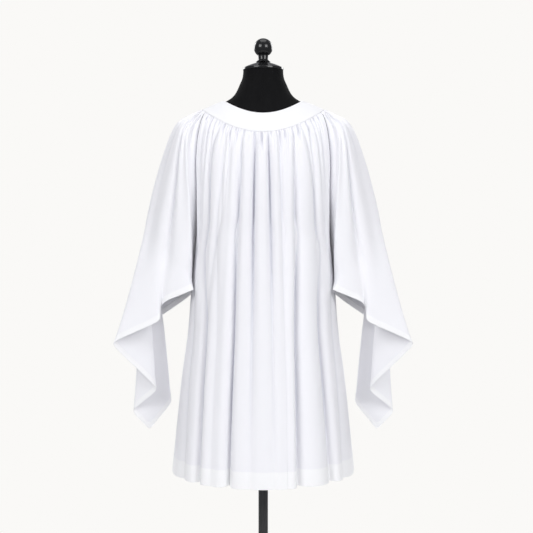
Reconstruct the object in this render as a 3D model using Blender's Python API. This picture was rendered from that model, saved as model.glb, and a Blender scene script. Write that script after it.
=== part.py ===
"""Old English surplice on a limbless dress form.

Metres, +Z up, the wearer faces +Y, and the origin is the centre of the base's underside on the floor.

Every cloth piece is a wall. Its outer points come from the sections in LEVELS, a row for each level from the
yoke seam (level 0) down to the hem, and from the tables of folds. Its inner points are the same points moved
in by the cloth's thickness. Columns of points run down the cloth and are counted in gathers, so that column
4.25 is a quarter of the way across the fifth gather. Both halves of a seam use the same points.
"""

import math
from collections import namedtuple

import bmesh
import bpy
import numpy as np

CLOTH = 0.0018               # wall of the panels and sleeves
YOKE_CLOTH = 0.0022          # wall of the yoke, which is double cloth
HALF_GAP = 0.00015           # half of the gap left at a seam
SHARPEST_MITRE = 0.62        # cosine at which a sharp bend's wall stops growing
GATHER_COLUMNS = 4           # columns of points across one gather
FORM_SIDES = 32              # points round the dress form
FINIAL_SIDES = 20
TURNED_SIDES = 28            # points round the cap, pole and base
CLOTH_EDGE_ANGLE = 60        # degrees above which an edge of the cloth is shaded sharp
HARD_EDGE_ANGLE = 35         # the same for the pole, base, cap and finial

# ---------------------------------------------------------------- rings of the yoke and the dress form

Ring = namedtuple("Ring", "half_width back_y front_y side_z back_z front_z")

YOKE_NECK = Ring(0.1050, -0.0880, 0.0700, 1.5000, 1.4605, 1.4400)
YOKE_SEAM = Ring(0.1610, -0.1250, 0.1050, 1.4760, 1.4090, 1.3920)
RAGLAN_TURN = math.radians(68)       # where the sleeves' seams leave the yoke, from centre back or front

FORM_RINGS = (
    #    half   back     front   side    back    front
    Ring(0.0532, -0.0525, 0.0525, 1.5812, 1.5812, 1.5812),
    Ring(0.0535, -0.0530, 0.0530, 1.5700, 1.5700, 1.5690),
    Ring(0.0560, -0.0556, 0.0540, 1.5560, 1.5545, 1.5530),
    Ring(0.0617, -0.0610, 0.0570, 1.5460, 1.5400, 1.5360),
    Ring(0.0690, -0.0660, 0.0590, 1.5270, 1.5170, 1.5080),
    Ring(0.0800, -0.0735, 0.0600, 1.5095, 1.4870, 1.4700),
    Ring(0.1005, -0.0828, 0.0650, 1.4972, 1.4600, 1.4385),
    Ring(0.1590, -0.1195, 0.0995, 1.4710, 1.4040, 1.3865),
    Ring(0.1830, -0.1240, 0.1035, 1.4580, 1.3660, 1.3470),
    Ring(0.1960, -0.1280, 0.1080, 1.4440, 1.3370, 1.3180),
    Ring(0.1985, -0.1310, 0.1110, 1.4200, 1.3070, 1.2910),
    Ring(0.1925, -0.1330, 0.1130, 1.3700, 1.2740, 1.2600),
    Ring(0.1810, -0.1330, 0.1140, 1.3050, 1.2340, 1.2230),
    Ring(0.1680, -0.1320, 0.1140, 1.2300, 1.1860, 1.1800),
    Ring(0.1590, -0.1220, 0.1060, 1.1500, 1.1250, 1.1220),
    Ring(0.1530, -0.1110, 0.0970, 1.0600, 1.0500, 1.0480),
    Ring(0.1560, -0.1100, 0.0950, 0.9800, 0.9750, 0.9740),
    Ring(0.1640, -0.1170, 0.1000, 0.9050, 0.9030, 0.9030),
    Ring(0.1640, -0.1180, 0.1010, 0.8450, 0.8450, 0.8450),
    Ring(0.1580, -0.1130, 0.0965, 0.8180, 0.8180, 0.8180),
    Ring(0.1400, -0.0980, 0.0830, 0.8020, 0.8020, 0.8020),
    Ring(0.1250, -0.0860, 0.0720, 0.8000, 0.8000, 0.8000),
)

# ---------------------------------------------------------------- levels of the body panels

Level = namedtuple("Level", "edge_x edge_z edge_back_y edge_front_y sweep "
                            "back_y back_z front_y front_z gather fine")

LEVELS = (
    # The edge is the raglan seam down to level 7, the underarm point, and the side seam below it. The sweep
    # is the turn from the panel's middle to its edge, in degrees. The gather is a crest's height, and the
    # fine one is that of the two smaller gathers that each of them is made of at the seam.
    Level(0.1493, 1.4666, -0.0468, 0.0393, 68.0, -0.1250, 1.4090, 0.1050, 1.3920, 0.0000, 0.0000),
    Level(0.1560, 1.4585, -0.0545, 0.0480, 69.0, -0.1320, 1.4015, 0.1115, 1.3845, 0.0014, 0.0030),
    Level(0.1645, 1.4320, -0.0690, 0.0620, 71.0, -0.1430, 1.3770, 0.1215, 1.3590, 0.0050, 0.0006),
    Level(0.1710, 1.3850, -0.0780, 0.0700, 74.0, -0.1515, 1.3380, 0.1305, 1.3200, 0.0038, 0.0000),
    Level(0.1738, 1.3300, -0.0800, 0.0730, 77.5, -0.1570, 1.2920, 0.1380, 1.2770, 0.0027, 0.0000),
    Level(0.1722, 1.2520, -0.0770, 0.0710, 81.5, -0.1605, 1.2420, 0.1430, 1.2320, 0.0018, 0.0000),
    Level(0.1725, 1.1500, -0.0560, 0.0520, 86.0, -0.1630, 1.2000, 0.1465, 1.1950, 0.0010, 0.0000),
    Level(0.1865, 1.0200, 0.0000, 0.0000, 90.0, -0.1645, 1.1550, 0.1485, 1.1520, 0.0006, 0.0000),
    Level(0.1900, 0.9880, 0.0000, 0.0000, 90.0, -0.1680, 1.0750, 0.1520, 1.0730, 0.0000, 0.0000),
    Level(0.1940, 0.9440, 0.0000, 0.0000, 90.0, -0.1725, 0.9750, 0.1560, 0.9750, 0.0000, 0.0000),
    Level(0.2008, 0.8740, 0.0000, 0.0000, 90.0, -0.1770, 0.8780, 0.1605, 0.8780, 0.0000, 0.0000),
    Level(0.2140, 0.7800, 0.0000, 0.0000, 90.0, -0.1825, 0.7700, 0.1665, 0.7700, 0.0000, 0.0000),
    Level(0.2270, 0.6600, 0.0000, 0.0000, 90.0, -0.1890, 0.6450, 0.1735, 0.6450, 0.0000, 0.0000),
    Level(0.2405, 0.5260, 0.0000, 0.0000, 90.0, -0.1960, 0.4975, 0.1810, 0.4970, 0.0000, 0.0000),
)
VALLEY_LEVEL = 4             # from it down to the underarm the raglan seam lies in a valley
UNDERARM = 7
LAST_FULL_LEVEL = 5          # below it a panel has half of its columns
HEM = len(LEVELS) - 1
PANEL_SQUARENESS = 0.85      # below 1 the sections are fuller than an ellipse

# ---------------------------------------------------------------- folds of the body panels

Fold = namedtuple("Fold", "gathers seam_s mid_s low_s hem_s top_depth mid_depth low_depth hem_depth")

FOLD_LEVELS = (0, 6, 10, 13)         # where the places in the tables of folds hold
DEPTH_LEVELS = (0, 2, 6, 10, 13)     # where their depths hold, after a first level with none
CROWDING = 0.40                      # how far columns draw together in a trough
CROWDED_DEPTH = 0.015                # mean depth of two troughs that draws them together in full
CREST_ROUNDNESS = 0.80               # below 1 the crests are wide and the troughs narrow
UNEVENNESS = 0.30                    # how much taller or lower than its neighbours a gather can be
UNEVEN_STEP = 2.4                    # radians from one gather to the next, which never repeats evenly
BACK_PHASE = 0.7
FRONT_PHASE = 2.1

# A row for each trough, across the panel from -1 at its left edge (seen from outside) to 1 at its right
# edge. The first column is the number of gathers between it and the next one.
BACK_FOLDS = (
    #    gathers seam   mid    low    hem    depths in metres: top, mid, low, hem
    Fold(2, -1.000, -1.000, -1.000, -1.000, 0.000, 0.000, 0.000, 0.000),
    Fold(2, -0.850, -0.830, -0.760, -0.680, 0.002, 0.004, 0.007, 0.012),
    Fold(2, -0.697, -0.650, -0.560, -0.505, 0.003, 0.010, 0.020, 0.026),
    Fold(3, -0.500, -0.450, -0.410, -0.390, 0.003, 0.005, 0.004, 0.004),
    Fold(2, -0.304, -0.262, -0.260, -0.255, 0.003, 0.010, 0.021, 0.032),
    Fold(2, -0.110, -0.098, -0.095, -0.090, 0.006, 0.012, 0.007, 0.003),
    Fold(2, 0.066, 0.079, 0.080, 0.082, 0.006, 0.010, 0.005, 0.004),
    Fold(3, 0.216, 0.200, 0.175, 0.165, 0.005, 0.006, 0.002, 0.000),
    Fold(2, 0.434, 0.350, 0.282, 0.252, 0.004, 0.011, 0.021, 0.032),
    Fold(2, 0.626, 0.616, 0.556, 0.560, 0.003, 0.009, 0.018, 0.024),
    Fold(2, 0.823, 0.800, 0.750, 0.700, 0.002, 0.004, 0.008, 0.013),
    Fold(0, 1.000, 1.000, 1.000, 1.000, 0.000, 0.000, 0.000, 0.000),
)
FRONT_FOLDS = (
    Fold(2, -1.000, -1.000, -1.000, -1.000, 0.000, 0.000, 0.000, 0.000),
    Fold(2, -0.835, -0.810, -0.745, -0.700, 0.002, 0.004, 0.007, 0.011),
    Fold(3, -0.660, -0.625, -0.570, -0.530, 0.003, 0.010, 0.019, 0.025),
    Fold(2, -0.420, -0.370, -0.320, -0.300, 0.004, 0.011, 0.021, 0.031),
    Fold(3, -0.245, -0.225, -0.200, -0.190, 0.005, 0.007, 0.004, 0.002),
    Fold(2, -0.030, -0.020, -0.010, 0.000, 0.006, 0.012, 0.014, 0.016),
    Fold(3, 0.130, 0.150, 0.165, 0.175, 0.005, 0.007, 0.003, 0.000),
    Fold(2, 0.345, 0.325, 0.300, 0.290, 0.004, 0.011, 0.020, 0.030),
    Fold(3, 0.500, 0.490, 0.480, 0.480, 0.003, 0.006, 0.006, 0.006),
    Fold(2, 0.700, 0.660, 0.610, 0.580, 0.003, 0.009, 0.018, 0.024),
    Fold(0, 1.000, 1.000, 1.000, 1.000, 0.000, 0.000, 0.000, 0.000),
)

# ---------------------------------------------------------------- levels and folds of the sleeves

SleeveLevel = namedtuple("SleeveLevel", "seam_x seam_z corner_x corner_z corner_back_y corner_front_y out_x out_z "
                                        "gather fine")

# Written for the side at +X. Levels 1 to 7 have their edges on the body's raglan seam, and the seam columns
# hold from level 8 down. The corner is the crest that hangs from the shoulder beside the body.
SLEEVE_LEVELS = (
    SleeveLevel(0.1493, 1.4666, 0.1560, 1.4720, -0.0340, 0.0300, 0.1610, 1.4760, 0.0000, 0.0000),
    SleeveLevel(0.1560, 1.4585, 0.1625, 1.4655, -0.0420, 0.0380, 0.1690, 1.4725, 0.0012, 0.0024),
    SleeveLevel(0.1645, 1.4320, 0.1760, 1.4460, -0.0650, 0.0590, 0.1895, 1.4625, 0.0040, 0.0006),
    SleeveLevel(0.1710, 1.3850, 0.1915, 1.4155, -0.0880, 0.0800, 0.2150, 1.4505, 0.0042, 0.0000),
    SleeveLevel(0.1738, 1.3300, 0.1975, 1.3730, -0.1010, 0.0920, 0.2310, 1.4345, 0.0036, 0.0000),
    SleeveLevel(0.1722, 1.2520, 0.1965, 1.3110, -0.1040, 0.0950, 0.2480, 1.4030, 0.0026, 0.0000),
    SleeveLevel(0.1725, 1.1500, 0.1905, 1.2450, -0.1020, 0.0940, 0.2623, 1.3620, 0.0016, 0.0000),
    SleeveLevel(0.1865, 1.0200, 0.1860, 1.1800, -0.0980, 0.0910, 0.2784, 1.3140, 0.0010, 0.0000),
    SleeveLevel(0.1885, 1.0150, 0.1825, 1.1200, -0.0930, 0.0870, 0.2997, 1.2350, 0.0005, 0.0000),
    SleeveLevel(0.1900, 1.0100, 0.1812, 1.0640, -0.0890, 0.0840, 0.3212, 1.1400, 0.0000, 0.0000),
)
HANGING_LEVEL = len(SLEEVE_LEVELS) - 1
MOUTH = 13                           # the sleeve's last level, where it has opened into a cascade of folds
SLEEVE_SQUARENESS = 0.80             # below 1 the tube is fuller than an ellipse
SETTLING_LEVELS = 6                  # how many levels the gathers take to settle into the mouth's spacing
SEAM_GATHERS = 0.5                   # the width beside a seam where the cloth lies flat, in gathers
SLEEVE_PHASE = 1.3
SLEEVE_GATHERS = 9

MouthPoint = namedtuple("MouthPoint", "column around x y z early")

# A row for each turn of the cloth at the mouth: its column, its place around the tube from the back corner
# (0) past the outside (0.5) to the front corner (1), its place at the mouth, and how early the hanging cloth
# reaches that place on its way down, where 1 is evenly and 3 is in the first third.
MOUTH_POINTS = (
    MouthPoint(0.00, -1.00, 0.1945, 0.0000, 1.0000, 1.0),    # underarm seam
    MouthPoint(0.75, 0.000, 0.1795, -0.0850, 1.0026, 1.0),   # back corner
    MouthPoint(1.50, 0.120, 0.2570, -0.0800, 0.9692, 1.0),   # above the groove
    MouthPoint(1.75, 0.140, 0.2690, -0.0560, 0.9560, 1.2),   # bottom of the groove
    MouthPoint(2.00, 0.160, 0.2660, -0.0840, 0.9234, 1.2),   # below the groove
    MouthPoint(3.00, 0.410, 0.3931, -0.0750, 0.8617, 1.1),   # outer corner
    MouthPoint(4.00, 0.455, 0.2800, -0.0120, 0.7368, 3.0),   # first inner fold
    MouthPoint(4.75, 0.485, 0.3482, 0.0180, 0.6763, 1.7),    # second outer fold
    MouthPoint(5.25, 0.510, 0.3028, 0.0270, 0.6249, 2.6),    # hanging tip
    MouthPoint(5.75, 0.540, 0.2426, 0.0420, 0.7033, 3.2),    # second inner fold
    MouthPoint(6.75, 0.600, 0.3850, 0.0800, 0.8480, 1.1),    # outer corner of the front
    MouthPoint(8.25, 1.000, 0.1800, 0.0800, 1.0000, 1.0),    # front corner
    MouthPoint(9.00, 2.00, 0.1945, 0.0000, 1.0000, 1.0),     # underarm seam
)

Trough = namedtuple("Trough", "column width top_depth mid_depth low_depth")

TROUGH_LEVELS = (0, 3, 6, 9, 12)     # none at first, then top, mid, low, and none again
SLEEVE_TROUGHS = (
    Trough(1.75, 0.42, 0.005, 0.006, 0.010),
    Trough(2.55, 0.36, 0.003, 0.004, 0.004),
    Trough(3.60, 0.40, 0.003, 0.004, 0.004),
    Trough(5.60, 0.45, 0.004, 0.005, 0.004),
    Trough(7.20, 0.45, 0.005, 0.006, 0.008),
)

# ---------------------------------------------------------------- hard pieces of the dress form

TOUCH_GAP = 0.0003                   # left between two hard pieces that rest on each other
EDGE = 0.0010                        # a small broken edge on a turned piece

CAP_RADIUS = 0.0538
CAP_BOTTOM_Z = 1.5815
CAP_RIM_Z = 1.5912                   # top of the cap's straight side
CAP_EDGE_Z = 1.5945                  # where the dome starts
CAP_TOP_Z = 1.6025
CAP_FLAT = 0.42                      # flat part of the dome's top, as a share of its radius
DOME_STEPS = 3

FINIAL_FOOT_RADIUS = 0.0195
FINIAL_FOOT_HEIGHT = 0.0015
FINIAL_NECK_RADIUS = 0.0138
FINIAL_NECK_Z = 1.6155
BALL_RADIUS = 0.0250
BALL_CENTRE_Z = 1.6412
BALL_STEPS = 10
BALL_TOP_TURN = 0.12                 # radians left flat at the ball's top

POLE_RADIUS = 0.0125
COLLAR_RADIUS = 0.0200
COLLAR_HEIGHT = 0.0450

BASE_RADIUS = 0.1900
BASE_THICKNESS = 0.0120
BASE_EDGE_ROUNDING = 0.0040
ROUNDING_STEPS = 2
HUB_RADIUS = 0.0300
HUB_TOP_RADIUS = 0.0240
HUB_HEIGHT = 0.0260
HUB_CHAMFER = 0.0030


# ---------------------------------------------------------------- working out points

def smooth(places, knots, values):
    """Values between the knots of a table, on a curve that never overshoots them."""
    places = np.asarray(places, float)
    knots = np.asarray(knots, float)
    values = np.asarray(values, float)
    steps = np.diff(knots)
    slopes = np.diff(values) / steps
    tangents = np.zeros(len(knots))
    tangents[0] = slopes[0]
    tangents[-1] = slopes[-1]
    for index in range(1, len(knots) - 1):
        before = slopes[index - 1]
        after = slopes[index]
        if before * after > 0:
            tangents[index] = 2 * before * after / (before + after)
    span = np.clip(np.searchsorted(knots, places, side="right") - 1, 0, len(steps) - 1)
    width = steps[span]
    part = np.clip((places - knots[span]) / width, 0, 1)
    start = (1 + 2 * part) * (1 - part) ** 2 * values[span]
    start_tangent = part * (1 - part) ** 2 * width * tangents[span]
    end = part ** 2 * (3 - 2 * part) * values[span + 1]
    end_tangent = part ** 2 * (part - 1) * width * tangents[span + 1]
    return start + start_tangent + end + end_tangent


def column_of(table, name, levels):
    """One named column of a table of levels, between its rows."""
    return smooth(levels, range(len(table)), [getattr(row, name) for row in table])


def ease(part):
    """From 0 to 1 with a soft start and end."""
    part = np.clip(part, 0, 1)
    return part * part * (3 - 2 * part)


def normalised(vectors):
    lengths = np.linalg.norm(vectors, axis=-1, keepdims=True)
    return vectors / np.maximum(lengths, 1e-12)


def ring_point(ring, turn):
    """A point of a ring at a turn from centre back (0) past the side at +X to centre front."""
    x = ring.half_width * math.sin(turn)
    facing = math.cos(turn)
    if facing > 0:
        y = ring.back_y * facing
        end_z = ring.back_z
    else:
        y = -ring.front_y * facing
        end_z = ring.front_z
    return np.array((x, y, ring.side_z + (end_z - ring.side_z) * facing * facing))


def neighbour_faces(points):
    """Outward unit normals of the four faces round each point of a grid [row, column]."""
    along = points[:, 1:] - points[:, :-1]
    down = points[1:] - points[:-1]
    faces = -normalised(np.cross(along[1:] + along[:-1], down[:, 1:] + down[:, :-1]))
    padded = np.pad(faces, ((1, 1), (1, 1), (0, 0)), mode="edge")
    return np.stack((padded[:-1, :-1], padded[:-1, 1:], padded[1:, :-1], padded[1:, 1:]))


def surface_normals(points):
    """Outward normals of a grid of points [row, column]."""
    return normalised(neighbour_faces(points).sum(axis=0))


def mitre(points, normals):
    """How much further a point on a bend has to move for the wall to keep its thickness."""
    cosines = np.abs(np.sum(neighbour_faces(points) * normals[None], axis=-1))
    return 1 / np.clip(cosines.min(axis=0), SHARPEST_MITRE, 1)


# ---------------------------------------------------------------- body panels

def fold_place_and_depth(folds, columns, levels):
    """Where each column lies across the panel, from -1 to 1, and how far its folds draw it in."""
    starts = np.cumsum([0] + [fold.gathers for fold in folds[:-1]])
    shape = (len(levels), len(columns))
    place = np.zeros(shape)
    depth = np.zeros(shape)
    for index in range(len(folds) - 1):
        left = folds[index]
        right = folds[index + 1]
        inside = (columns >= starts[index] - 1e-9) & (columns <= starts[index + 1] + 1e-9)
        part = np.clip((columns[inside] - starts[index]) / left.gathers, 0, 1)[None, :]
        left_s = smooth(levels, FOLD_LEVELS, left[1:5])[:, None]
        right_s = smooth(levels, FOLD_LEVELS, right[1:5])[:, None]
        left_depth = smooth(levels, DEPTH_LEVELS, (0,) + left[5:9])[:, None]
        right_depth = smooth(levels, DEPTH_LEVELS, (0,) + right[5:9])[:, None]
        drawn = np.clip((left_depth + right_depth) / (2 * CROWDED_DEPTH), 0, 1)
        moved = part - drawn * CROWDING * np.sin(2 * math.pi * part) / (2 * math.pi)
        place[:, inside] = left_s + (right_s - left_s) * moved
        crest = np.sin(math.pi * part) ** CREST_ROUNDNESS
        depth[:, inside] = (left_depth + (right_depth - left_depth) * part) * (1 - crest)
    return place, depth


def gather_height(table, columns, levels, phase):
    """Crests of the gathers and of the fine ones, each a little taller or lower than the next."""
    height = np.zeros((len(levels), len(columns)))
    for name, to_a_gather in (("gather", 1), ("fine", 2)):
        place = columns * to_a_gather
        uneven = 1 + UNEVENNESS * np.sin(UNEVEN_STEP * np.floor(place + 1e-9) + phase)
        wave = 0.5 - 0.5 * np.cos(2 * math.pi * place)
        height += column_of(table, name, levels)[:, None] * (wave * uneven)[None, :]
    return height


def panel_points(is_back, columns, levels):
    """Outer points of a body panel, columns from its left edge to its right as seen from outside."""
    folds = BACK_FOLDS if is_back else FRONT_FOLDS
    side = "back" if is_back else "front"
    columns = np.asarray(columns, float)
    levels = np.asarray(levels, float)
    place, depth = fold_place_and_depth(folds, columns, levels)

    edge_x = column_of(LEVELS, "edge_x", levels)[:, None]
    edge_z = column_of(LEVELS, "edge_z", levels)[:, None]
    edge_y = column_of(LEVELS, "edge_%s_y" % side, levels)[:, None]
    middle_y = column_of(LEVELS, side + "_y", levels)[:, None]
    middle_z = column_of(LEVELS, side + "_z", levels)[:, None]
    sweep = np.radians(column_of(LEVELS, "sweep", levels))[:, None]

    turn = place * sweep
    fullness = np.maximum(np.cos(turn), 0) ** PANEL_SQUARENESS
    edge_fullness = np.maximum(np.cos(sweep), 0) ** PANEL_SQUARENESS
    toward_middle = (fullness - edge_fullness) / (1 - edge_fullness)
    toward_edge = (1 - np.cos(turn)) / (1 - np.cos(sweep))
    facing = 1 if is_back else -1
    x = facing * edge_x * np.sin(turn) / np.sin(sweep)
    y = edge_y + (middle_y - edge_y) * toward_middle
    z = middle_z + (edge_z - middle_z) * toward_edge
    points = np.stack((x, y, z), axis=-1)

    # Level 0 lies on the yoke's own ring.
    seam_turns = place[0] * RAGLAN_TURN
    if levels[0] == 0:
        for index, turn_here in enumerate(seam_turns):
            turn_here = turn_here if is_back else math.pi + turn_here
            points[0, index] = ring_point(YOKE_SEAM, turn_here)

    normals = surface_normals(points)
    crests = gather_height(LEVELS, columns, levels, BACK_PHASE if is_back else FRONT_PHASE)
    points = points + normals * (crests - depth)[..., None]
    if levels[0] == 0:
        points[0] -= normals[0] * (crests[0] - depth[0])[:, None]
    return points


# ---------------------------------------------------------------- sleeves

def sleeve_section(columns, levels):
    """Outer points of the sleeve's tube above the mouth, for the side at +X."""
    shape = (len(levels), len(columns))
    seam_x = column_of(SLEEVE_LEVELS, "seam_x", levels)[:, None]
    seam_z = column_of(SLEEVE_LEVELS, "seam_z", levels)[:, None]
    corner_x = column_of(SLEEVE_LEVELS, "corner_x", levels)[:, None]
    corner_z = column_of(SLEEVE_LEVELS, "corner_z", levels)[:, None]
    back_y = column_of(SLEEVE_LEVELS, "corner_back_y", levels)[:, None]
    front_y = column_of(SLEEVE_LEVELS, "corner_front_y", levels)[:, None]
    out_x = column_of(SLEEVE_LEVELS, "out_x", levels)[:, None]
    out_z = column_of(SLEEVE_LEVELS, "out_z", levels)[:, None]
    edge_back_y = column_of(LEVELS, "edge_back_y", levels)[:, None]
    edge_front_y = column_of(LEVELS, "edge_front_y", levels)[:, None]

    back_corner = MOUTH_POINTS[1].column
    front_corner = MOUTH_POINTS[-2].column
    inner = MOUTH_POINTS[1:-1]
    knots = [point.column for point in inner]
    crowded = smooth(columns, knots, [point.around for point in inner])[None, :]
    even = np.clip((columns - back_corner) / (front_corner - back_corner), 0, 1)[None, :]
    settled = ease((levels - 1) / SETTLING_LEVELS)[:, None]
    around = even + (crowded - even) * settled

    turn = around * math.pi
    outward = np.abs(np.sin(turn)) ** SLEEVE_SQUARENESS
    facing = np.sign(np.cos(turn)) * np.abs(np.cos(turn)) ** SLEEVE_SQUARENESS
    x = corner_x + (out_x - corner_x) * outward
    y = np.where(facing > 0, back_y * facing, -front_y * facing)
    z = corner_z + (out_z - corner_z) * outward

    to_back = np.clip(columns / back_corner, 0, 1)[None, :] * np.ones(shape)
    to_front = np.clip((SLEEVE_GATHERS - columns) / (SLEEVE_GATHERS - front_corner), 0, 1)[None, :]
    to_front = to_front * np.ones(shape)
    for part, edge_y, corner_y in ((to_back, edge_back_y, back_y), (to_front, edge_front_y, front_y)):
        x = np.where(part < 1, seam_x + (corner_x - seam_x) * part, x)
        y = np.where(part < 1, edge_y + (corner_y - edge_y) * part, y)
        z = np.where(part < 1, seam_z + (corner_z - seam_z) * part, z)
    return np.stack((x, y, z), axis=-1)


def mouth_outline(columns):
    """Points of the sleeve's mouth, round every turn of its cascade."""
    knots = np.array([point.column for point in MOUTH_POINTS])
    span = np.clip(np.searchsorted(knots, columns, side="right") - 1, 0, len(knots) - 2)
    part = (columns - knots[span]) / (knots[span + 1] - knots[span])
    swing = (part + (1 - np.cos(math.pi * part)) / 2) / 2
    ends = np.array([(point.x, point.y, point.z) for point in MOUTH_POINTS])
    mixed = np.stack((swing, part, (swing + part) / 2), axis=-1)
    return ends[span] + (ends[span + 1] - ends[span]) * mixed


def sleeve_points(columns, levels):
    """Outer points of the sleeve at +X, columns from its back edge over the outside to its front edge."""
    columns = np.asarray(columns, float)
    levels = np.asarray(levels, float)
    upper = np.minimum(levels, HANGING_LEVEL)
    points = sleeve_section(columns, upper)
    if levels[0] == 0:
        for index, column in enumerate(columns):
            turn = RAGLAN_TURN + (math.pi - 2 * RAGLAN_TURN) * column / SLEEVE_GATHERS
            points[0, index] = ring_point(YOKE_SEAM, turn)

    normals = surface_normals(points)
    moved = gather_height(SLEEVE_LEVELS, columns, upper, SLEEVE_PHASE)
    for trough in SLEEVE_TROUGHS:
        depths = (0, trough.top_depth, trough.mid_depth, trough.low_depth, 0)
        depth = smooth(levels, TROUGH_LEVELS, depths)[:, None]
        spread = np.exp(-((columns - trough.column) / trough.width) ** 2)[None, :]
        moved = moved - depth * spread
    # The edges stay on their seams.
    from_edge = np.minimum(columns, SLEEVE_GATHERS - columns)
    moved = moved * ease(from_edge / SEAM_GATHERS)[None, :]
    if levels[0] == 0:
        moved[0] = 0
    points = points + normals * moved[..., None]

    hanging = np.clip((levels - HANGING_LEVEL) / (MOUTH - HANGING_LEVEL), 0, 1)[:, None]
    early = smooth(columns, [point.column for point in MOUTH_POINTS],
                   [point.early for point in MOUTH_POINTS])[None, :]
    opened = 1 - (1 - hanging) ** early
    weights = np.stack((opened, opened, hanging * np.ones_like(opened)), axis=-1)
    return points + (mouth_outline(columns)[None, :, :] - points) * weights


# ---------------------------------------------------------------- meshes

def make_material(name, colour, roughness):
    material = bpy.data.materials.new(name)
    material.use_nodes = True
    shader = material.node_tree.nodes["Principled BSDF"]
    shader.inputs["Base Color"].default_value = (*colour, 1)
    shader.inputs["Roughness"].default_value = roughness
    shader.inputs["Metallic"].default_value = 0.0
    material.diffuse_color = (*colour, 1)
    return material


def object_from(mesh_builder, name, material):
    """Close a bmesh into an object with its faces pointing out."""
    bmesh.ops.recalc_face_normals(mesh_builder, faces=mesh_builder.faces[:])
    mesh = bpy.data.meshes.new(name)
    mesh_builder.to_mesh(mesh)
    mesh_builder.free()
    mesh.materials.append(material)
    piece = bpy.data.objects.new(name, mesh)
    bpy.context.scene.collection.objects.link(piece)
    return piece


def fill_between(builder, upper, lower):
    """Triangles between two rows of vertices, where the lower row may have half as many steps."""
    if len(upper) == len(lower):
        for index in range(len(upper) - 1):
            builder.faces.new((upper[index], upper[index + 1], lower[index + 1]))
            builder.faces.new((upper[index], lower[index + 1], lower[index]))
        return
    for index in range(len(lower) - 1):
        first, middle, last = upper[2 * index:2 * index + 3]
        builder.faces.new((first, middle, lower[index]))
        builder.faces.new((middle, lower[index + 1], lower[index]))
        builder.faces.new((middle, last, lower[index + 1]))


def make_wall(name, outer_rows, inner_rows, material):
    """A closed wall between two sheets of points given row by row."""
    builder = bmesh.new()
    outer = [[builder.verts.new(point) for point in row] for row in outer_rows]
    inner = [[builder.verts.new(point) for point in row] for row in inner_rows]
    for sheet in (outer, inner):
        for upper, lower in zip(sheet, sheet[1:]):
            fill_between(builder, upper, lower)
    fill_between(builder, outer[0], inner[0])
    fill_between(builder, outer[-1], inner[-1])
    for side in (0, -1):
        fill_between(builder, [row[side] for row in outer], [row[side] for row in inner])
    return object_from(builder, name, material)


def make_rings(name, rings, material):
    """A closed solid through rings of points, each with the same number of points."""
    builder = bmesh.new()
    loops = [[builder.verts.new(point) for point in ring] for ring in rings]
    for upper, lower in zip(loops, loops[1:]):
        count = len(upper)
        for index in range(count):
            following = (index + 1) % count
            builder.faces.new((upper[index], upper[following], lower[following], lower[index]))
    builder.faces.new(loops[0])
    builder.faces.new(loops[-1])
    return object_from(builder, name, material)


def make_turned(name, profile, material, sides=TURNED_SIDES):
    """A solid turned round the Z axis from (radius, height) pairs in order along its outline."""
    rings = []
    for radius, height in profile:
        turns = [2 * math.pi * index / sides for index in range(sides)]
        rings.append([(radius * math.cos(turn), radius * math.sin(turn), height) for turn in turns])
    return make_rings(name, rings, material)


def shade(piece, angle):
    piece.data.shade_smooth()
    piece.data.set_sharp_from_angle(angle=math.radians(angle))


# ---------------------------------------------------------------- seams

def side_seam_normals(normals):
    """The normals of a seam in the plane between front and back, which have no part along Y."""
    flat = np.array(normals)
    flat[..., 1] = 0
    return normalised(flat)


def inner_points(points, normals, thickness):
    return points - normals * (thickness * mitre(points, normals))[..., None]


# ---------------------------------------------------------------- the garment

def panel_columns(folds):
    count = sum(fold.gathers for fold in folds)
    return np.arange(count * GATHER_COLUMNS + 1) / GATHER_COLUMNS


def sleeve_columns():
    return np.arange(SLEEVE_GATHERS * GATHER_COLUMNS + 1) / GATHER_COLUMNS


def mirrored(vectors):
    flipped = np.array(vectors)
    flipped[..., 0] *= -1
    return flipped


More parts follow.
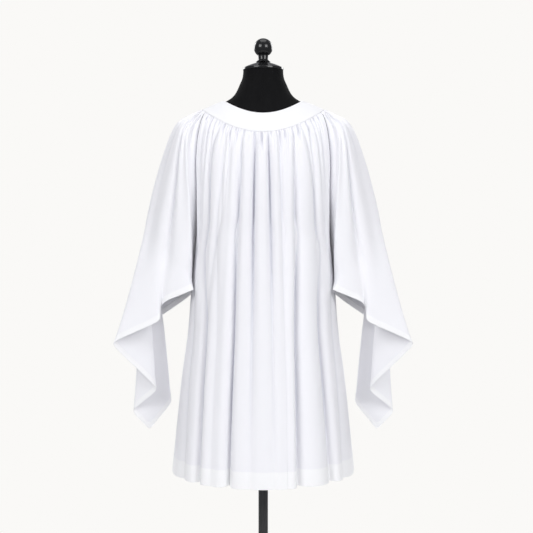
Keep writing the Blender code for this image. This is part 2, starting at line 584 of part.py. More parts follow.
def make_garment(materials):
    panel_levels = np.arange(HEM + 1)
    sleeve_levels = np.arange(MOUTH + 1)
    points = {
        "back": panel_points(True, panel_columns(BACK_FOLDS), panel_levels),
        "front": panel_points(False, panel_columns(FRONT_FOLDS), panel_levels),
        "sleeve": sleeve_points(sleeve_columns(), sleeve_levels),
    }
    normals = {name: surface_normals(grid) for name, grid in points.items()}

    # The yoke seam: every panel's top row lies on the yoke's ring and takes the yoke's own normals.
    for name, grid in points.items():
        down_yoke = np.array([yoke_slope(point) for point in grid[0]])
        along = np.gradient(grid[0], axis=0)
        yoke_normal = normalised(np.cross(along, down_yoke)) * -1
        normals[name][0] = yoke_normal
        grid[0] += down_yoke * HALF_GAP

    # Where the raglan seams lie in flat cloth, the panel and the sleeve share one normal. The back's last
    # column and the front's first one are at +X, where the sleeve's first and last columns meet them.
    raglan = slice(1, VALLEY_LEVEL)
    below = slice(UNDERARM, None)
    for panel, near, far, sleeve_side in (("back", -1, 0, 0), ("front", 0, -1, -1)):
        together = normalised(normals[panel][raglan, near] + normals["sleeve"][raglan, sleeve_side])
        normals[panel][raglan, near] = together
        normals[panel][raglan, far] = mirrored(together)
        normals["sleeve"][raglan, sleeve_side] = together

    # The side seams of the panels and the underarm seam of the sleeve.
    for panel in ("back", "front"):
        for side in (0, -1):
            normals[panel][below, side] = side_seam_normals(normals[panel][below, side])
    both = side_seam_normals(normals["sleeve"][below, 0] + normals["sleeve"][below, -1])
    normals["sleeve"][below, 0] = both
    normals["sleeve"][below, -1] = both

    # At the underarm point the cloth arches over from the body to the sleeve.
    down = np.array((0, 0, -1.0))
    for panel in ("back", "front"):
        for side in (0, -1):
            normals[panel][UNDERARM, side] = normalised(normals[panel][UNDERARM, side] + down)
    for side in (0, -1):
        normals["sleeve"][UNDERARM, side] = normalised(normals["sleeve"][UNDERARM, side] + down)

    # The lower levels of a panel keep half of its columns, with normals of their own.
    halved = slice(LAST_FULL_LEVEL + 1, None)
    for name in ("back", "front"):
        thinned_normals = surface_normals(points[name][:, ::2])
        normals[name][halved, 2:-2:2] = thinned_normals[halved, 1:-1]

    inner = {name: inner_points(points[name], normals[name], CLOTH) for name in points}
    open_seams(points, inner)

    for name in ("back", "front"):
        rows = [thinned(points[name][level], level) for level in panel_levels]
        inner_rows = [thinned(inner[name][level], level) for level in panel_levels]
        shade(make_wall("body_" + name, rows, inner_rows, materials["body_" + name]), CLOTH_EDGE_ANGLE)
    for name, turned in (("sleeve_right", False), ("sleeve_left", True)):
        rows = mirrored(points["sleeve"]) if turned else points["sleeve"]
        inner_rows = mirrored(inner["sleeve"]) if turned else inner["sleeve"]
        shade(make_wall(name, rows, inner_rows, materials[name]), CLOTH_EDGE_ANGLE)
    make_yokes(materials)


def thinned(row, level):
    """A panel's row, with half of its columns where its gathers have died away."""
    return row if level <= LAST_FULL_LEVEL else row[::2]


def open_seams(points, inner):
    """Move the edges of the panels and the sleeve half a gap back from their seams."""
    for grids in (points, inner):
        for name, facing in (("back", -1), ("front", 1)):
            grids[name][1:, (0, -1), 1] += facing * HALF_GAP
            for side in (0, -1):
                inward = -np.sign(grids[name][1, side, 0])
                grids[name][:UNDERARM + 1, side, 0] += inward * HALF_GAP
        sleeve = grids["sleeve"]
        sleeve[:UNDERARM + 1, (0, -1), 0] += HALF_GAP
        sleeve[UNDERARM:, 0, 1] -= HALF_GAP
        sleeve[UNDERARM:, -1, 1] += HALF_GAP


def yoke_slope(point):
    """The unit step down the yoke's slope at a point of its outer ring."""
    turn = math.atan2(point[0] / YOKE_SEAM.half_width,
                      point[1] / (YOKE_SEAM.back_y if point[1] < 0 else -YOKE_SEAM.front_y))
    return normalised(ring_point(YOKE_SEAM, turn) - ring_point(YOKE_NECK, turn))


def yoke_turns():
    """The turns at which the panels' and sleeves' top columns meet the back half of the yoke."""
    def place_turns(folds):
        place, _ = fold_place_and_depth(folds, panel_columns(folds), np.array((0.0,)))
        return place[0] * RAGLAN_TURN

    back = place_turns(BACK_FOLDS)
    front = place_turns(FRONT_FOLDS)
    arc = math.pi - 2 * RAGLAN_TURN
    shoulder = RAGLAN_TURN + arc * sleeve_columns() / SLEEVE_GATHERS
    half = len(shoulder) // 2
    near_back = shoulder[1:half + 1]
    near_front = shoulder[half:-1] - math.pi
    back_turns = np.concatenate((-near_back[::-1], back, near_back))
    front_turns = np.concatenate((near_front, front, -near_front[::-1]))
    return back_turns, front_turns + math.pi


def make_yokes(materials):
    back_turns, front_turns = yoke_turns()
    for name, turns, facing in (("yoke_back", back_turns, -1), ("yoke_front", front_turns, 1)):
        neck = np.array([ring_point(YOKE_NECK, turn) for turn in turns])
        seam = np.array([ring_point(YOKE_SEAM, turn) for turn in turns])
        slope = normalised(seam - neck)
        along = np.gradient(seam, axis=0)
        normal = normalised(np.cross(along, slope)) * -1
        normal[(0, -1), 1] = 0
        normal = normalised(normal)
        grid = np.stack((neck, seam - slope * HALF_GAP))
        inner = grid - normal[None] * YOKE_CLOTH
        for sheet in (grid, inner):
            sheet[:, (0, -1), 1] += facing * HALF_GAP
        rows = (grid[1], grid[0][::2])
        inner_rows = (inner[1], inner[0][::2])
        shade(make_wall(name, rows, inner_rows, materials[name]), CLOTH_EDGE_ANGLE)


# ---------------------------------------------------------------- the dress form

def make_torso(material):
    turns = [2 * math.pi * index / FORM_SIDES for index in range(FORM_SIDES)]
    rings = [[ring_point(ring, turn) for turn in turns] for ring in FORM_RINGS]
    shade(make_rings("form_torso", rings, material), CLOTH_EDGE_ANGLE)


def make_cap(material):
    dome_radius = CAP_RADIUS - EDGE
    profile = [
        (CAP_RADIUS - EDGE, CAP_BOTTOM_Z),
        (CAP_RADIUS, CAP_BOTTOM_Z + EDGE),
        (CAP_RADIUS, CAP_RIM_Z),
        (dome_radius, CAP_EDGE_Z - EDGE),
    ]
    for step in range(1, DOME_STEPS + 1):
        part = step / DOME_STEPS
        rise = math.sin(part * math.pi / 2)
        radius = dome_radius * (1 - (1 - CAP_FLAT) * part)
        profile.append((radius, CAP_EDGE_Z + (CAP_TOP_Z - CAP_EDGE_Z) * rise))
    shade(make_turned("form_neck_cap", profile, material), HARD_EDGE_ANGLE)


def make_finial(material):
    foot_z = CAP_TOP_Z + TOUCH_GAP
    foot_top = foot_z + FINIAL_FOOT_HEIGHT
    profile = [
        (FINIAL_FOOT_RADIUS, foot_z),
        (FINIAL_FOOT_RADIUS, foot_top),
        (FINIAL_NECK_RADIUS + 1.5 * EDGE, foot_top + 4 * EDGE),
        (FINIAL_NECK_RADIUS, FINIAL_NECK_Z),
    ]
    # The turn is measured from straight down, and the neck takes the first part of it.
    neck_turn = math.asin(FINIAL_NECK_RADIUS / BALL_RADIUS)
    for step in range(1, BALL_STEPS + 1):
        turn = neck_turn + (math.pi - BALL_TOP_TURN - neck_turn) * step / BALL_STEPS
        profile.append((BALL_RADIUS * math.sin(turn), BALL_CENTRE_Z - BALL_RADIUS * math.cos(turn)))
    shade(make_turned("form_finial", profile, material, FINIAL_SIDES), HARD_EDGE_ANGLE)


def make_pole(material):
    top = FORM_RINGS[-1].side_z - TOUCH_GAP
    collar_bottom = top - COLLAR_HEIGHT
    profile = [
        (POLE_RADIUS, HUB_HEIGHT + TOUCH_GAP),
        (POLE_RADIUS, collar_bottom),
        (COLLAR_RADIUS - EDGE, collar_bottom + EDGE / 2),
        (COLLAR_RADIUS, collar_bottom + 2 * EDGE),
        (COLLAR_RADIUS, top),
    ]
    shade(make_turned("form_pole", profile, material), HARD_EDGE_ANGLE)


def make_base(material):
    profile = [(BASE_RADIUS - EDGE, 0.0), (BASE_RADIUS, EDGE)]
    for step in range(ROUNDING_STEPS + 1):
        turn = step / ROUNDING_STEPS * math.pi / 2
        radius = BASE_RADIUS - BASE_EDGE_ROUNDING * (1 - math.cos(turn))
        profile.append((radius, BASE_THICKNESS - BASE_EDGE_ROUNDING * (1 - math.sin(turn))))
    profile += [
        (HUB_RADIUS, BASE_THICKNESS + EDGE),
        (HUB_TOP_RADIUS + HUB_CHAMFER, HUB_HEIGHT - HUB_CHAMFER),
        (HUB_TOP_RADIUS, HUB_HEIGHT),
    ]
    shade(make_turned("form_base", profile, material), HARD_EDGE_ANGLE)


def main():
    for old in list(bpy.data.objects):
        bpy.data.objects.remove(old, do_unlink=True)
    white = (0.90, 0.90, 0.93)
    double_white = (0.94, 0.94, 0.96)
    black = (0.011, 0.011, 0.012)
    dark_paint = (0.030, 0.030, 0.032)
    materials = {
        "yoke_back": make_material("back_yoke_cloth", double_white, 0.85),
        "yoke_front": make_material("front_yoke_cloth", double_white, 0.85),
        "body_back": make_material("back_cloth", white, 0.85),
        "body_front": make_material("front_cloth", white, 0.85),
        "sleeve_left": make_material("left_sleeve_cloth", white, 0.85),
        "sleeve_right": make_material("right_sleeve_cloth", white, 0.85),
    }
    make_garment(materials)
    make_torso(make_material("form_jersey", black, 0.80))
    make_cap(make_material("cap_lacquer", black, 0.25))
    make_finial(make_material("finial_lacquer", black, 0.18))
    make_pole(make_material("pole_paint", dark_paint, 0.40))
    make_base(make_material("base_paint", dark_paint, 0.50))


main()
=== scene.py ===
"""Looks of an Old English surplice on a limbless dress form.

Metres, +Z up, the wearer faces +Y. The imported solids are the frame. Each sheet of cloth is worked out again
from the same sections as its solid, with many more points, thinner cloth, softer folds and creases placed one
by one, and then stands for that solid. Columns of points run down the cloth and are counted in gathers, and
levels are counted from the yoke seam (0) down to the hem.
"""

import math
from collections import namedtuple

import bpy
import numpy as np
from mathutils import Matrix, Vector


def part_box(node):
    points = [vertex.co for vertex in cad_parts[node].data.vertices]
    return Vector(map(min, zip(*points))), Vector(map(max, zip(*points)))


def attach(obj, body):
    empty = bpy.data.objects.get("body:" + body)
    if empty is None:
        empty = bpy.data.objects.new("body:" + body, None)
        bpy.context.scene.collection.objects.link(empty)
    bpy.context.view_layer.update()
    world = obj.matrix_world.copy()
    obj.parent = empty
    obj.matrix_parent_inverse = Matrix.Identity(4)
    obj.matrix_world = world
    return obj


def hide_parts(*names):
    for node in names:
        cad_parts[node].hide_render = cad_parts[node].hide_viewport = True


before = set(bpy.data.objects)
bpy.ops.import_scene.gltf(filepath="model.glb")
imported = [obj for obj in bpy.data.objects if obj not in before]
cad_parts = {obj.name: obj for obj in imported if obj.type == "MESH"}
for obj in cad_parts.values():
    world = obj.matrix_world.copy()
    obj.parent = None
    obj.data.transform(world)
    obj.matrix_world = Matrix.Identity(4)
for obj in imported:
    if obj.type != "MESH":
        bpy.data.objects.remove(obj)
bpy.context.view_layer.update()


def rows_of(kind, rows):
    """A table's rows, with their columns named."""
    return tuple(kind(*row) for row in rows)


# ---------------------------------------------------------------- sizes of the cloth

SINGLE_CLOTH = 0.0008        # one layer of the light cotton
DOUBLE_CLOTH = 0.0016        # a hem, which is turned up double
YOKE_CLOTH = 0.0012          # the yoke, which is double with its seams inside
HALF_GAP = 0.00015           # half of the gap at a seam
SEAM_DIP = 0.0006            # how far the cloth dips at a seam
SEAM_WIDTH = 0.0040          # the width beside a seam that dips
TUCK = 0.0008                # how far below the yoke's face the gathers leave it
YOKE_RISE = 0.0011           # how far the yoke's face stands above its ring at the gathers
YOKE_OVERHANG = 0.0015       # how far the yoke reaches over the gathers
BODY_HEM = 0.0430
SLEEVE_HEM = 0.0160
YOKE_CROWN = 0.0012          # how far the yoke's middle stands out between its edges
STITCH_INSET = 0.0015        # from the edge of a hem or yoke to its stitches
NECK_INSET = 0.0050          # from the neck edge to its stitches
STITCH_DENT = 0.0003         # how far stitches draw the cloth in
HEM_GROOVE = 0.0009          # half widths of the grooves that stitches draw
NECK_GROOVE = 0.0010
SEAM_GROOVE = 0.0007
HEM_STEP = 0.0008            # the height over which a hem goes from single to double
HEM_ROUNDING = 0.0014        # the height over which a hem's edge is rounded
HEM_THINNING = 0.7           # how much of its second layer a rounded edge loses, as a share
HEM_DRAW = 0.0005            # how far the rounded edge is drawn in
YOKE_ROUNDING = 0.0009       # the width over which the yoke's two edges are rounded
YOKE_THINNING = 0.6          # how much of its thickness a rounded edge loses, as a share
YOKE_DRAW = 0.0004           # how far a rounded edge is drawn in
YOKE_RISE_WIDTH = 0.014      # the width beside the gathers over which the yoke's face rises
STITCH_PITCH = 0.0030
STITCH_LENGTH = 0.0022
STITCH_SUNK = 0.0003         # how far the ends of a stitch go into the cloth
THREAD_RADIUS = 0.0002
COLUMNS_A_GATHER = 16        # columns of points across a gather of a body panel
SLEEVE_COLUMNS_A_GATHER = 28
YOKE_COLUMNS = 240
YOKE_ROWS = 60
YOKE_ROW_STEP = 6            # rows worked out for each one kept on the yoke
ROW_SAMPLES = 3              # rows worked out for each one kept
HOLLOW_ROUNDS = 60           # how widely the folds are smoothed away to find how deep a point lies in one, for its painted shade
SLEEVE_HOLLOW_ROUNDS = 260   # the same on a sleeve, where the columns are closer
SLEEVE_SHADED_LENGTH = 0.20   # how far down a sleeve its folds keep their full painted shade
FINE_HOLLOW = 0.0013         # depth of a gather at which the cloth has its full painted fold shade
DEEP_HOLLOW = 0.0050         # the same for a long fold
VALLEY_FOOT = 1.02           # height of the underarm, where the valley between sleeve and body, with the shade painted in it, ends
VALLEY_HEAD = 1.45
VALLEY_WIDTH = 0.006
GATHERED_LENGTH = 0.050      # how far the fine gathers reach below the yoke
OPEN_LENGTH = 0.260          # the length above a hem over which the painted fold shade fades out
SHADE_FADE = 0.25             # the length over which the painted shade fades out below a sleeve's shaded length
VALLEY_FADE = 0.06           # the height over which the valley's painted shade fades at its two ends
# painted shade: the colour the cloth is drawn toward in its folds and in the valley beside each sleeve
FOLD_SHADE_COLOUR = (0.60, 0.605, 0.68, 1)

# ---------------------------------------------------------------- rings of the yoke

Ring = namedtuple("Ring", "half_width back_y front_y side_z back_z front_z")

YOKE_NECK = Ring(0.1050, -0.0880, 0.0700, 1.5000, 1.4605, 1.4400)
YOKE_SEAM = Ring(0.1610, -0.1250, 0.1050, 1.4760, 1.4090, 1.3920)
RAGLAN_TURN = math.radians(68)       # where the sleeves' seams leave the yoke, from centre back or front

# ---------------------------------------------------------------- levels and folds of the body panels

Level = namedtuple("Level", "edge_x edge_z edge_back_y edge_front_y sweep "
                            "back_y back_z front_y front_z gather fine")

LEVELS = rows_of(Level, (
    # The edge is the raglan seam down to level 7, the underarm point, and the side seam below it. The sweep
    # is the turn from the panel's middle to its edge, in degrees. The gather and the fine one are how far
    # their troughs lie below the crests.
    (0.1493, 1.4666, -0.0468, 0.0393, 68.0, -0.1250, 1.4090, 0.1050, 1.3920, 0.0000, 0.0000),
    (0.1560, 1.4585, -0.0545, 0.0480, 69.0, -0.1320, 1.4015, 0.1115, 1.3845, 0.0032, 0.0036),
    (0.1645, 1.4320, -0.0690, 0.0620, 71.0, -0.1430, 1.3770, 0.1215, 1.3590, 0.0078, 0.0020),
    (0.1710, 1.3850, -0.0780, 0.0700, 74.0, -0.1515, 1.3380, 0.1305, 1.3200, 0.0084, 0.0000),
    (0.1738, 1.3300, -0.0800, 0.0730, 77.5, -0.1570, 1.2920, 0.1380, 1.2770, 0.0078, 0.0000),
    (0.1722, 1.2520, -0.0770, 0.0710, 81.5, -0.1605, 1.2420, 0.1430, 1.2320, 0.0068, 0.0000),
    (0.1725, 1.1500, -0.0560, 0.0520, 86.0, -0.1630, 1.2000, 0.1465, 1.1950, 0.0056, 0.0000),
    (0.1865, 1.0200, 0.0000, 0.0000, 90.0, -0.1645, 1.1550, 0.1485, 1.1520, 0.0046, 0.0000),
    (0.1900, 0.9880, 0.0000, 0.0000, 90.0, -0.1680, 1.0750, 0.1520, 1.0730, 0.0032, 0.0000),
    (0.1940, 0.9440, 0.0000, 0.0000, 90.0, -0.1725, 0.9750, 0.1560, 0.9750, 0.0014, 0.0000),
    (0.2008, 0.8740, 0.0000, 0.0000, 90.0, -0.1770, 0.8780, 0.1605, 0.8780, 0.0000, 0.0000),
    (0.2140, 0.7800, 0.0000, 0.0000, 90.0, -0.1825, 0.7700, 0.1665, 0.7700, 0.0000, 0.0000),
    (0.2270, 0.6600, 0.0000, 0.0000, 90.0, -0.1890, 0.6450, 0.1735, 0.6450, 0.0000, 0.0000),
    (0.2405, 0.5260, 0.0000, 0.0000, 90.0, -0.1960, 0.4975, 0.1810, 0.4970, 0.0000, 0.0000),
))
UNDERARM = 7
HEM = len(LEVELS) - 1
PANEL_SQUARENESS = 0.85      # below 1 the sections are fuller than an ellipse

Fold = namedtuple("Fold", "gathers seam_s mid_s low_s hem_s top_depth mid_depth low_depth hem_depth")

FOLD_LEVELS = (0, 6, 10, 13)         # where the places in the tables of folds hold
DEPTH_LEVELS = (0, 2, 6, 10, 13)     # where their depths hold, after a first level with none
CROWDING = 0.40                      # how far columns draw together in a trough
CROWDED_DEPTH = 0.015                # mean depth of two troughs that draws them together in full
CREST_ROUNDNESS = 0.80               # below 1 the crests are wide and the troughs narrow

# A row for each long trough, across the panel from -1 at its left edge (seen from outside) to 1 at its right
# edge. The first column is the number of gathers between it and the next one.
BACK_FOLDS = rows_of(Fold, (
    # gathers, places at the seam, mid, low and hem, then depths in metres: top, mid, low and hem
    (2, -1.000, -1.000, -1.000, -1.000, 0.000, 0.000, 0.000, 0.000),
    (2, -0.850, -0.830, -0.760, -0.680, 0.002, 0.004, 0.007, 0.012),
    (2, -0.697, -0.650, -0.560, -0.505, 0.003, 0.010, 0.020, 0.026),
    (3, -0.500, -0.450, -0.410, -0.390, 0.003, 0.005, 0.004, 0.004),
    (2, -0.304, -0.262, -0.260, -0.255, 0.003, 0.010, 0.021, 0.032),
    (2, -0.110, -0.098, -0.095, -0.090, 0.006, 0.012, 0.007, 0.003),
    (2, 0.066, 0.079, 0.080, 0.082, 0.006, 0.010, 0.005, 0.004),
    (3, 0.216, 0.200, 0.175, 0.165, 0.005, 0.006, 0.002, 0.000),
    (2, 0.434, 0.350, 0.282, 0.252, 0.004, 0.011, 0.021, 0.032),
    (2, 0.626, 0.616, 0.556, 0.560, 0.003, 0.009, 0.018, 0.024),
    (2, 0.823, 0.800, 0.750, 0.700, 0.002, 0.004, 0.008, 0.013),
    (0, 1.000, 1.000, 1.000, 1.000, 0.000, 0.000, 0.000, 0.000),
))
FRONT_FOLDS = rows_of(Fold, (
    (2, -1.000, -1.000, -1.000, -1.000, 0.000, 0.000, 0.000, 0.000),
    (2, -0.835, -0.810, -0.745, -0.700, 0.002, 0.004, 0.007, 0.011),
    (3, -0.660, -0.625, -0.570, -0.530, 0.003, 0.010, 0.019, 0.025),
    (2, -0.420, -0.370, -0.320, -0.300, 0.004, 0.011, 0.021, 0.031),
    (3, -0.245, -0.225, -0.200, -0.190, 0.005, 0.007, 0.004, 0.002),
    (2, -0.030, -0.020, -0.010, 0.000, 0.006, 0.012, 0.014, 0.016),
    (3, 0.130, 0.150, 0.165, 0.175, 0.005, 0.007, 0.003, 0.000),
    (2, 0.345, 0.325, 0.300, 0.290, 0.004, 0.011, 0.020, 0.030),
    (3, 0.500, 0.490, 0.480, 0.480, 0.003, 0.006, 0.006, 0.006),
    (2, 0.700, 0.660, 0.610, 0.580, 0.003, 0.009, 0.018, 0.024),
    (0, 1.000, 1.000, 1.000, 1.000, 0.000, 0.000, 0.000, 0.000),
))

# ---------------------------------------------------------------- gathers and creases placed one by one

# A row for each trough or crease of a body panel, in millimetres. x_0 to x_910 are its place across the
# panel, positive to the right as seen from outside, at 0, 70, 210, 530 and 910 below the yoke seam. d_20 to
# d_910 are its depths at 20, 70, 210, 530 and 910, and a ridge has depths below 0. left and right are its
# half widths on either side near the yoke, and spread is how many times wider it is at the hem.
Crease = namedtuple("Crease", "x_0 x_70 x_210 x_530 x_910 d_20 d_70 d_210 d_530 d_910 left right spread")

CREASE_PLACES = (0.0, 0.070, 0.210, 0.530, 0.910)
CREASE_DEPTHS = (0.0, 0.020, 0.070, 0.210, 0.530, 0.910)     # the first of them has none
FINE_WIDTH = 0.16            # half width of a fine gather's trough, in gathers
FINE_START = 0.45            # the level by which the fine gathers have their full depth
FINE_RISE = 0.45             # how far their crests stand out, as a share of that depth
FINE_SHARE = 0.85            # a fine gather's mean depth, as a share of the table's
FINE_SWINGS = ((0.50, 2.4), (0.20, 5.3))     # how much that depth changes, and how fast along the yoke
FINE_SHIFT = (0.06, 3.7)     # how far fine gathers lie off their even places, and how fast that changes
CREST_SHARE = 0.35           # how far the crests stand out, as a share of the level's gather
LEAVING_LEVEL = 0.9          # the level by which a piece has left the yoke's ring
TUCK_START = 0.15            # the levels over which the gathers come out from below the yoke
TUCK_END = 0.65
FLANK = 1.30                 # how much further than its half width a crease's flank reaches
FLANK_POWER = 1.50           # below 2 a crease has a narrower bottom and longer flanks
HEM_RISE = 0.20              # how far the hem rises in a trough, as a share of the trough's depth
HEM_RISE_LEVELS = 2          # how many levels above the hem that starts

BACK_CREASES = rows_of(Crease, (
    # places at 0, 70, 210, 530 and 910, depths at 20, 70, 210, 530 and 910, then left, right and spread
    (-145, -160, -166, -160, -176,   2.0, 3.0, 1.0, 0.0, 0.0, 2.6, 2.6, 2.0),
    (-136, -148, -158, -150, -170,   3.5, 4.5, 0.5, 0.0, 0.0, 2.4, 2.8, 2.0),
    (-125, -138, -150, -172, -196,   1.5, 2.0, 3.0, 2.0, 1.0, 2.6, 3.6, 3.0),
    (-109, -131, -142, -151, -168,   4.5, 7.5, 4.0, 0.5, 0.0, 3.2, 2.8, 3.0),
    (-95, -99, -119, -152, -172,     2.0, 3.0, 4.5, 6.0, 5.0, 4.2, 3.4, 2.4),
    (-84, -89, -100, -110, -120,     4.5, 5.5, 0.5, 0.0, 0.0, 2.6, 2.4, 2.0),
    (-75, -84, -92, -112, -126,      3.0, 5.0, 1.5, 1.0, 1.5, 2.4, 2.8, 4.0),
    (-67, -67, -70, -80, -90,        3.5, 1.5, 0.0, 0.0, 0.0, 2.2, 2.2, 2.0),
    (-56, -56, -64, -81, -95,        5.0, 9.5, 11.0, 8.0, 6.0, 4.2, 2.8, 3.2),
    (-36, -38, -44, -55, -66,        4.5, 2.0, 0.0, 1.0, 1.5, 2.4, 2.4, 5.0),
    (-19, -21, -25, -28, -32,        5.5, 11.0, 13.0, 7.0, 2.0, 2.6, 2.8, 3.0),
    (-3, -3, -4, -2, 0,              6.0, 2.5, 0.0, 0.0, 0.0, 2.8, 2.8, 2.0),
    (12, 15, 18, 25, 28,             5.5, 11.0, 12.5, 3.5, 0.5, 2.8, 3.4, 3.0),
    (27, 27, 30, 36, 40,             4.5, 1.5, 0.0, 0.0, 0.0, 2.2, 2.2, 2.0),
    (41, 43, 48, 56, 62,             4.5, 6.5, 6.5, 1.5, 1.0, 2.8, 2.6, 4.0),
    (55, 56, 60, 70, 78,             4.0, 1.5, 0.0, 0.0, 0.0, 2.2, 2.2, 2.0),
    (66, 67, 70, 76, 80,             3.0, 1.0, 0.0, 0.0, 0.0, 2.0, 2.0, 2.0),
    (79, 80, 83, 92, 98,             5.0, 9.0, 11.0, 8.0, 6.0, 2.8, 4.4, 3.2),
    (90, 93, 100, 110, 120,          4.0, 1.5, 0.5, 0.5, 1.0, 2.2, 2.4, 4.0),
    (102, 118, 137, 153, 184,        4.0, 6.5, 5.0, 5.0, 5.0, 2.8, 3.4, 2.6),
    (115, 126, 146, 150, 160,        3.5, 2.0, 0.5, 0.0, 0.0, 2.4, 2.4, 2.0),
    (129, 144, 156, 176, 205,        4.0, 4.5, 1.5, 1.5, 1.5, 2.6, 2.6, 4.0),
    (141, 155, 164, 160, 170,        2.5, 3.5, 1.5, 0.0, 0.0, 2.4, 2.6, 2.0),
))
FRONT_CREASES = rows_of(Crease, (
    (-144, -157, -164, -160, -176,   2.5, 3.5, 1.5, 0.0, 0.0, 2.6, 2.6, 2.0),
    (-133, -146, -155, -174, -200,   3.5, 4.5, 1.5, 1.5, 1.5, 2.4, 2.8, 4.0),
    (-117, -127, -142, -146, -160,   3.5, 2.0, 0.5, 0.0, 0.0, 2.4, 2.4, 2.0),
    (-104, -122, -136, -156, -178,   4.5, 7.0, 5.0, 5.0, 5.0, 3.4, 2.8, 2.6),
    (-90, -95, -104, -116, -128,     4.0, 3.0, 0.5, 0.5, 1.0, 2.4, 2.4, 4.0),
    (-77, -82, -90, -100, -112,      4.0, 1.5, 0.0, 0.0, 0.0, 2.2, 2.2, 2.0),
    (-66, -66, -74, -92, -106,       5.0, 9.0, 10.5, 7.5, 6.0, 4.2, 2.8, 3.2),
    (-52, -53, -56, -60, -66,        3.5, 1.5, 0.0, 0.0, 0.0, 2.2, 2.2, 2.0),
    (-39, -40, -44, -52, -60,        5.0, 7.0, 6.5, 2.0, 1.0, 2.6, 2.8, 3.4),
    (-22, -23, -26, -30, -34,        4.5, 2.0, 0.0, 0.0, 0.0, 2.4, 2.4, 2.0),
    (-5, -5, -4, -2, 0,              5.5, 10.5, 12.0, 6.0, 3.0, 2.8, 3.0, 3.0),
    (10, 11, 13, 16, 20,             4.0, 1.5, 0.0, 0.0, 0.0, 2.2, 2.2, 2.0),
    (24, 26, 32, 40, 46,             5.0, 9.5, 8.0, 2.0, 0.5, 2.8, 2.6, 3.2),
    (40, 41, 46, 52, 58,             4.0, 2.0, 0.5, 0.5, 1.0, 2.4, 2.4, 4.0),
    (58, 62, 71, 86, 102,            5.0, 9.5, 10.5, 7.5, 6.0, 2.8, 4.2, 3.2),
    (72, 76, 84, 96, 110,            3.5, 1.5, 0.0, 0.0, 0.0, 2.2, 2.2, 2.0),
    (85, 93, 106, 128, 150,          4.5, 5.5, 2.5, 1.5, 1.5, 2.6, 2.8, 4.0),
    (99, 110, 122, 138, 156,         3.5, 1.5, 0.0, 0.0, 0.0, 2.2, 2.2, 2.0),
    (112, 129, 142, 158, 182,        4.5, 7.0, 5.0, 5.0, 5.0, 2.8, 3.4, 2.6),
    (127, 141, 153, 170, 196,        3.5, 4.5, 1.0, 1.0, 1.5, 2.6, 2.4, 4.0),
    (141, 154, 163, 160, 174,        2.5, 3.0, 1.5, 0.0, 0.0, 2.6, 2.6, 2.0),
))

# The sleeves' are placed by columns and levels. A row has the column and level of its upper end, of its
# middle and of its lower end, its depths a third of the way down and two thirds, in millimetres, and its half
# widths in gathers at the two ends.
SleeveCrease = namedtuple("SleeveCrease", "top_column top_level mid_column low_column low_level "
                                          "upper_depth lower_depth top_width low_width")

CREASE_PARTS = (0, 0.12, 0.33, 0.66, 1)      # the parts of a crease's length that have depths of their own
CREASE_HEAD = 0.7            # its depth at the second of them, as a share of the upper depth

RIGHT_CREASES = rows_of(SleeveCrease, (
    (0.60, 0.1, 0.50, 0.48, 6.5, 6.5, 4.0, 0.11, 0.14),
    (1.10, 0.1, 1.06, 0.98, 8.6, 8.5, 6.5, 0.18, 0.36),
    (1.50, 0.2, 1.42, 1.36, 5.0, 7.0, 2.0, 0.12, 0.22),
    (1.95, 0.1, 1.84, 1.72, 12.2, 7.5, 9.0, 0.15, 0.34),
    (2.45, 0.2, 2.36, 2.30, 6.5, 7.0, 2.5, 0.13, 0.24),
    (2.95, 0.1, 2.62, 2.45, 12.4, 7.5, 5.0, 0.15, 0.30),
    (3.55, 0.2, 3.34, 3.20, 8.2, 7.0, 4.0, 0.14, 0.26),
    (4.15, 0.1, 4.02, 3.90, 6.6, 7.5, 3.0, 0.15, 0.30),
    (4.75, 0.2, 4.70, 4.60, 8.0, 7.0, 3.0, 0.14, 0.28),
    (5.35, 0.1, 5.45, 5.50, 9.0, 7.5, 5.0, 0.15, 0.34),
    (6.00, 0.2, 6.20, 6.40, 7.0, 7.0, 3.0, 0.14, 0.28),
    (6.60, 0.1, 6.90, 7.10, 12.2, 7.5, 8.0, 0.15, 0.36),
    (7.20, 0.2, 7.40, 7.50, 6.2, 6.0, 2.5, 0.13, 0.24),
    (7.85, 0.1, 7.95, 8.00, 8.6, 9.0, 6.0, 0.13, 0.30),
    (8.40, 0.1, 8.48, 8.52, 6.2, 6.5, 4.0, 0.11, 0.14),
))
LEFT_CREASES = rows_of(SleeveCrease, (
    (0.58, 0.1, 0.50, 0.48, 6.2, 6.5, 4.0, 0.11, 0.14),
    (1.05, 0.1, 1.08, 1.04, 9.0, 9.0, 6.5, 0.18, 0.36),
    (1.45, 0.2, 1.48, 1.50, 5.4, 7.0, 2.5, 0.12, 0.22),
    (1.90, 0.1, 1.86, 1.74, 12.2, 7.0, 9.0, 0.15, 0.36),
    (2.50, 0.2, 2.42, 2.34, 5.8, 7.0, 2.5, 0.13, 0.24),
    (3.05, 0.1, 2.74, 2.56, 12.4, 7.5, 6.5, 0.15, 0.32),
    (3.60, 0.2, 3.44, 3.34, 7.6, 7.0, 3.0, 0.14, 0.26),
    (4.20, 0.1, 4.10, 3.96, 7.2, 7.5, 4.0, 0.15, 0.30),
    (4.85, 0.2, 4.80, 4.72, 7.4, 7.0, 3.0, 0.14, 0.28),
    (5.45, 0.1, 5.52, 5.56, 9.4, 7.5, 5.0, 0.15, 0.34),
    (6.10, 0.2, 6.26, 6.44, 6.4, 7.0, 3.0, 0.14, 0.28),
    (6.70, 0.1, 6.96, 7.16, 12.2, 7.5, 8.0, 0.15, 0.36),
    (7.30, 0.2, 7.44, 7.52, 6.8, 6.0, 2.5, 0.13, 0.24),
    (7.90, 0.1, 7.98, 8.02, 8.2, 9.0, 6.0, 0.13, 0.30),
    (8.42, 0.1, 8.50, 8.53, 6.5, 6.5, 4.0, 0.11, 0.14),
))

# ---------------------------------------------------------------- levels and folds of the sleeves

SleeveLevel = namedtuple("SleeveLevel", "seam_x seam_z corner_x corner_z corner_back_y corner_front_y "
                                        "out_x out_z gather fine")

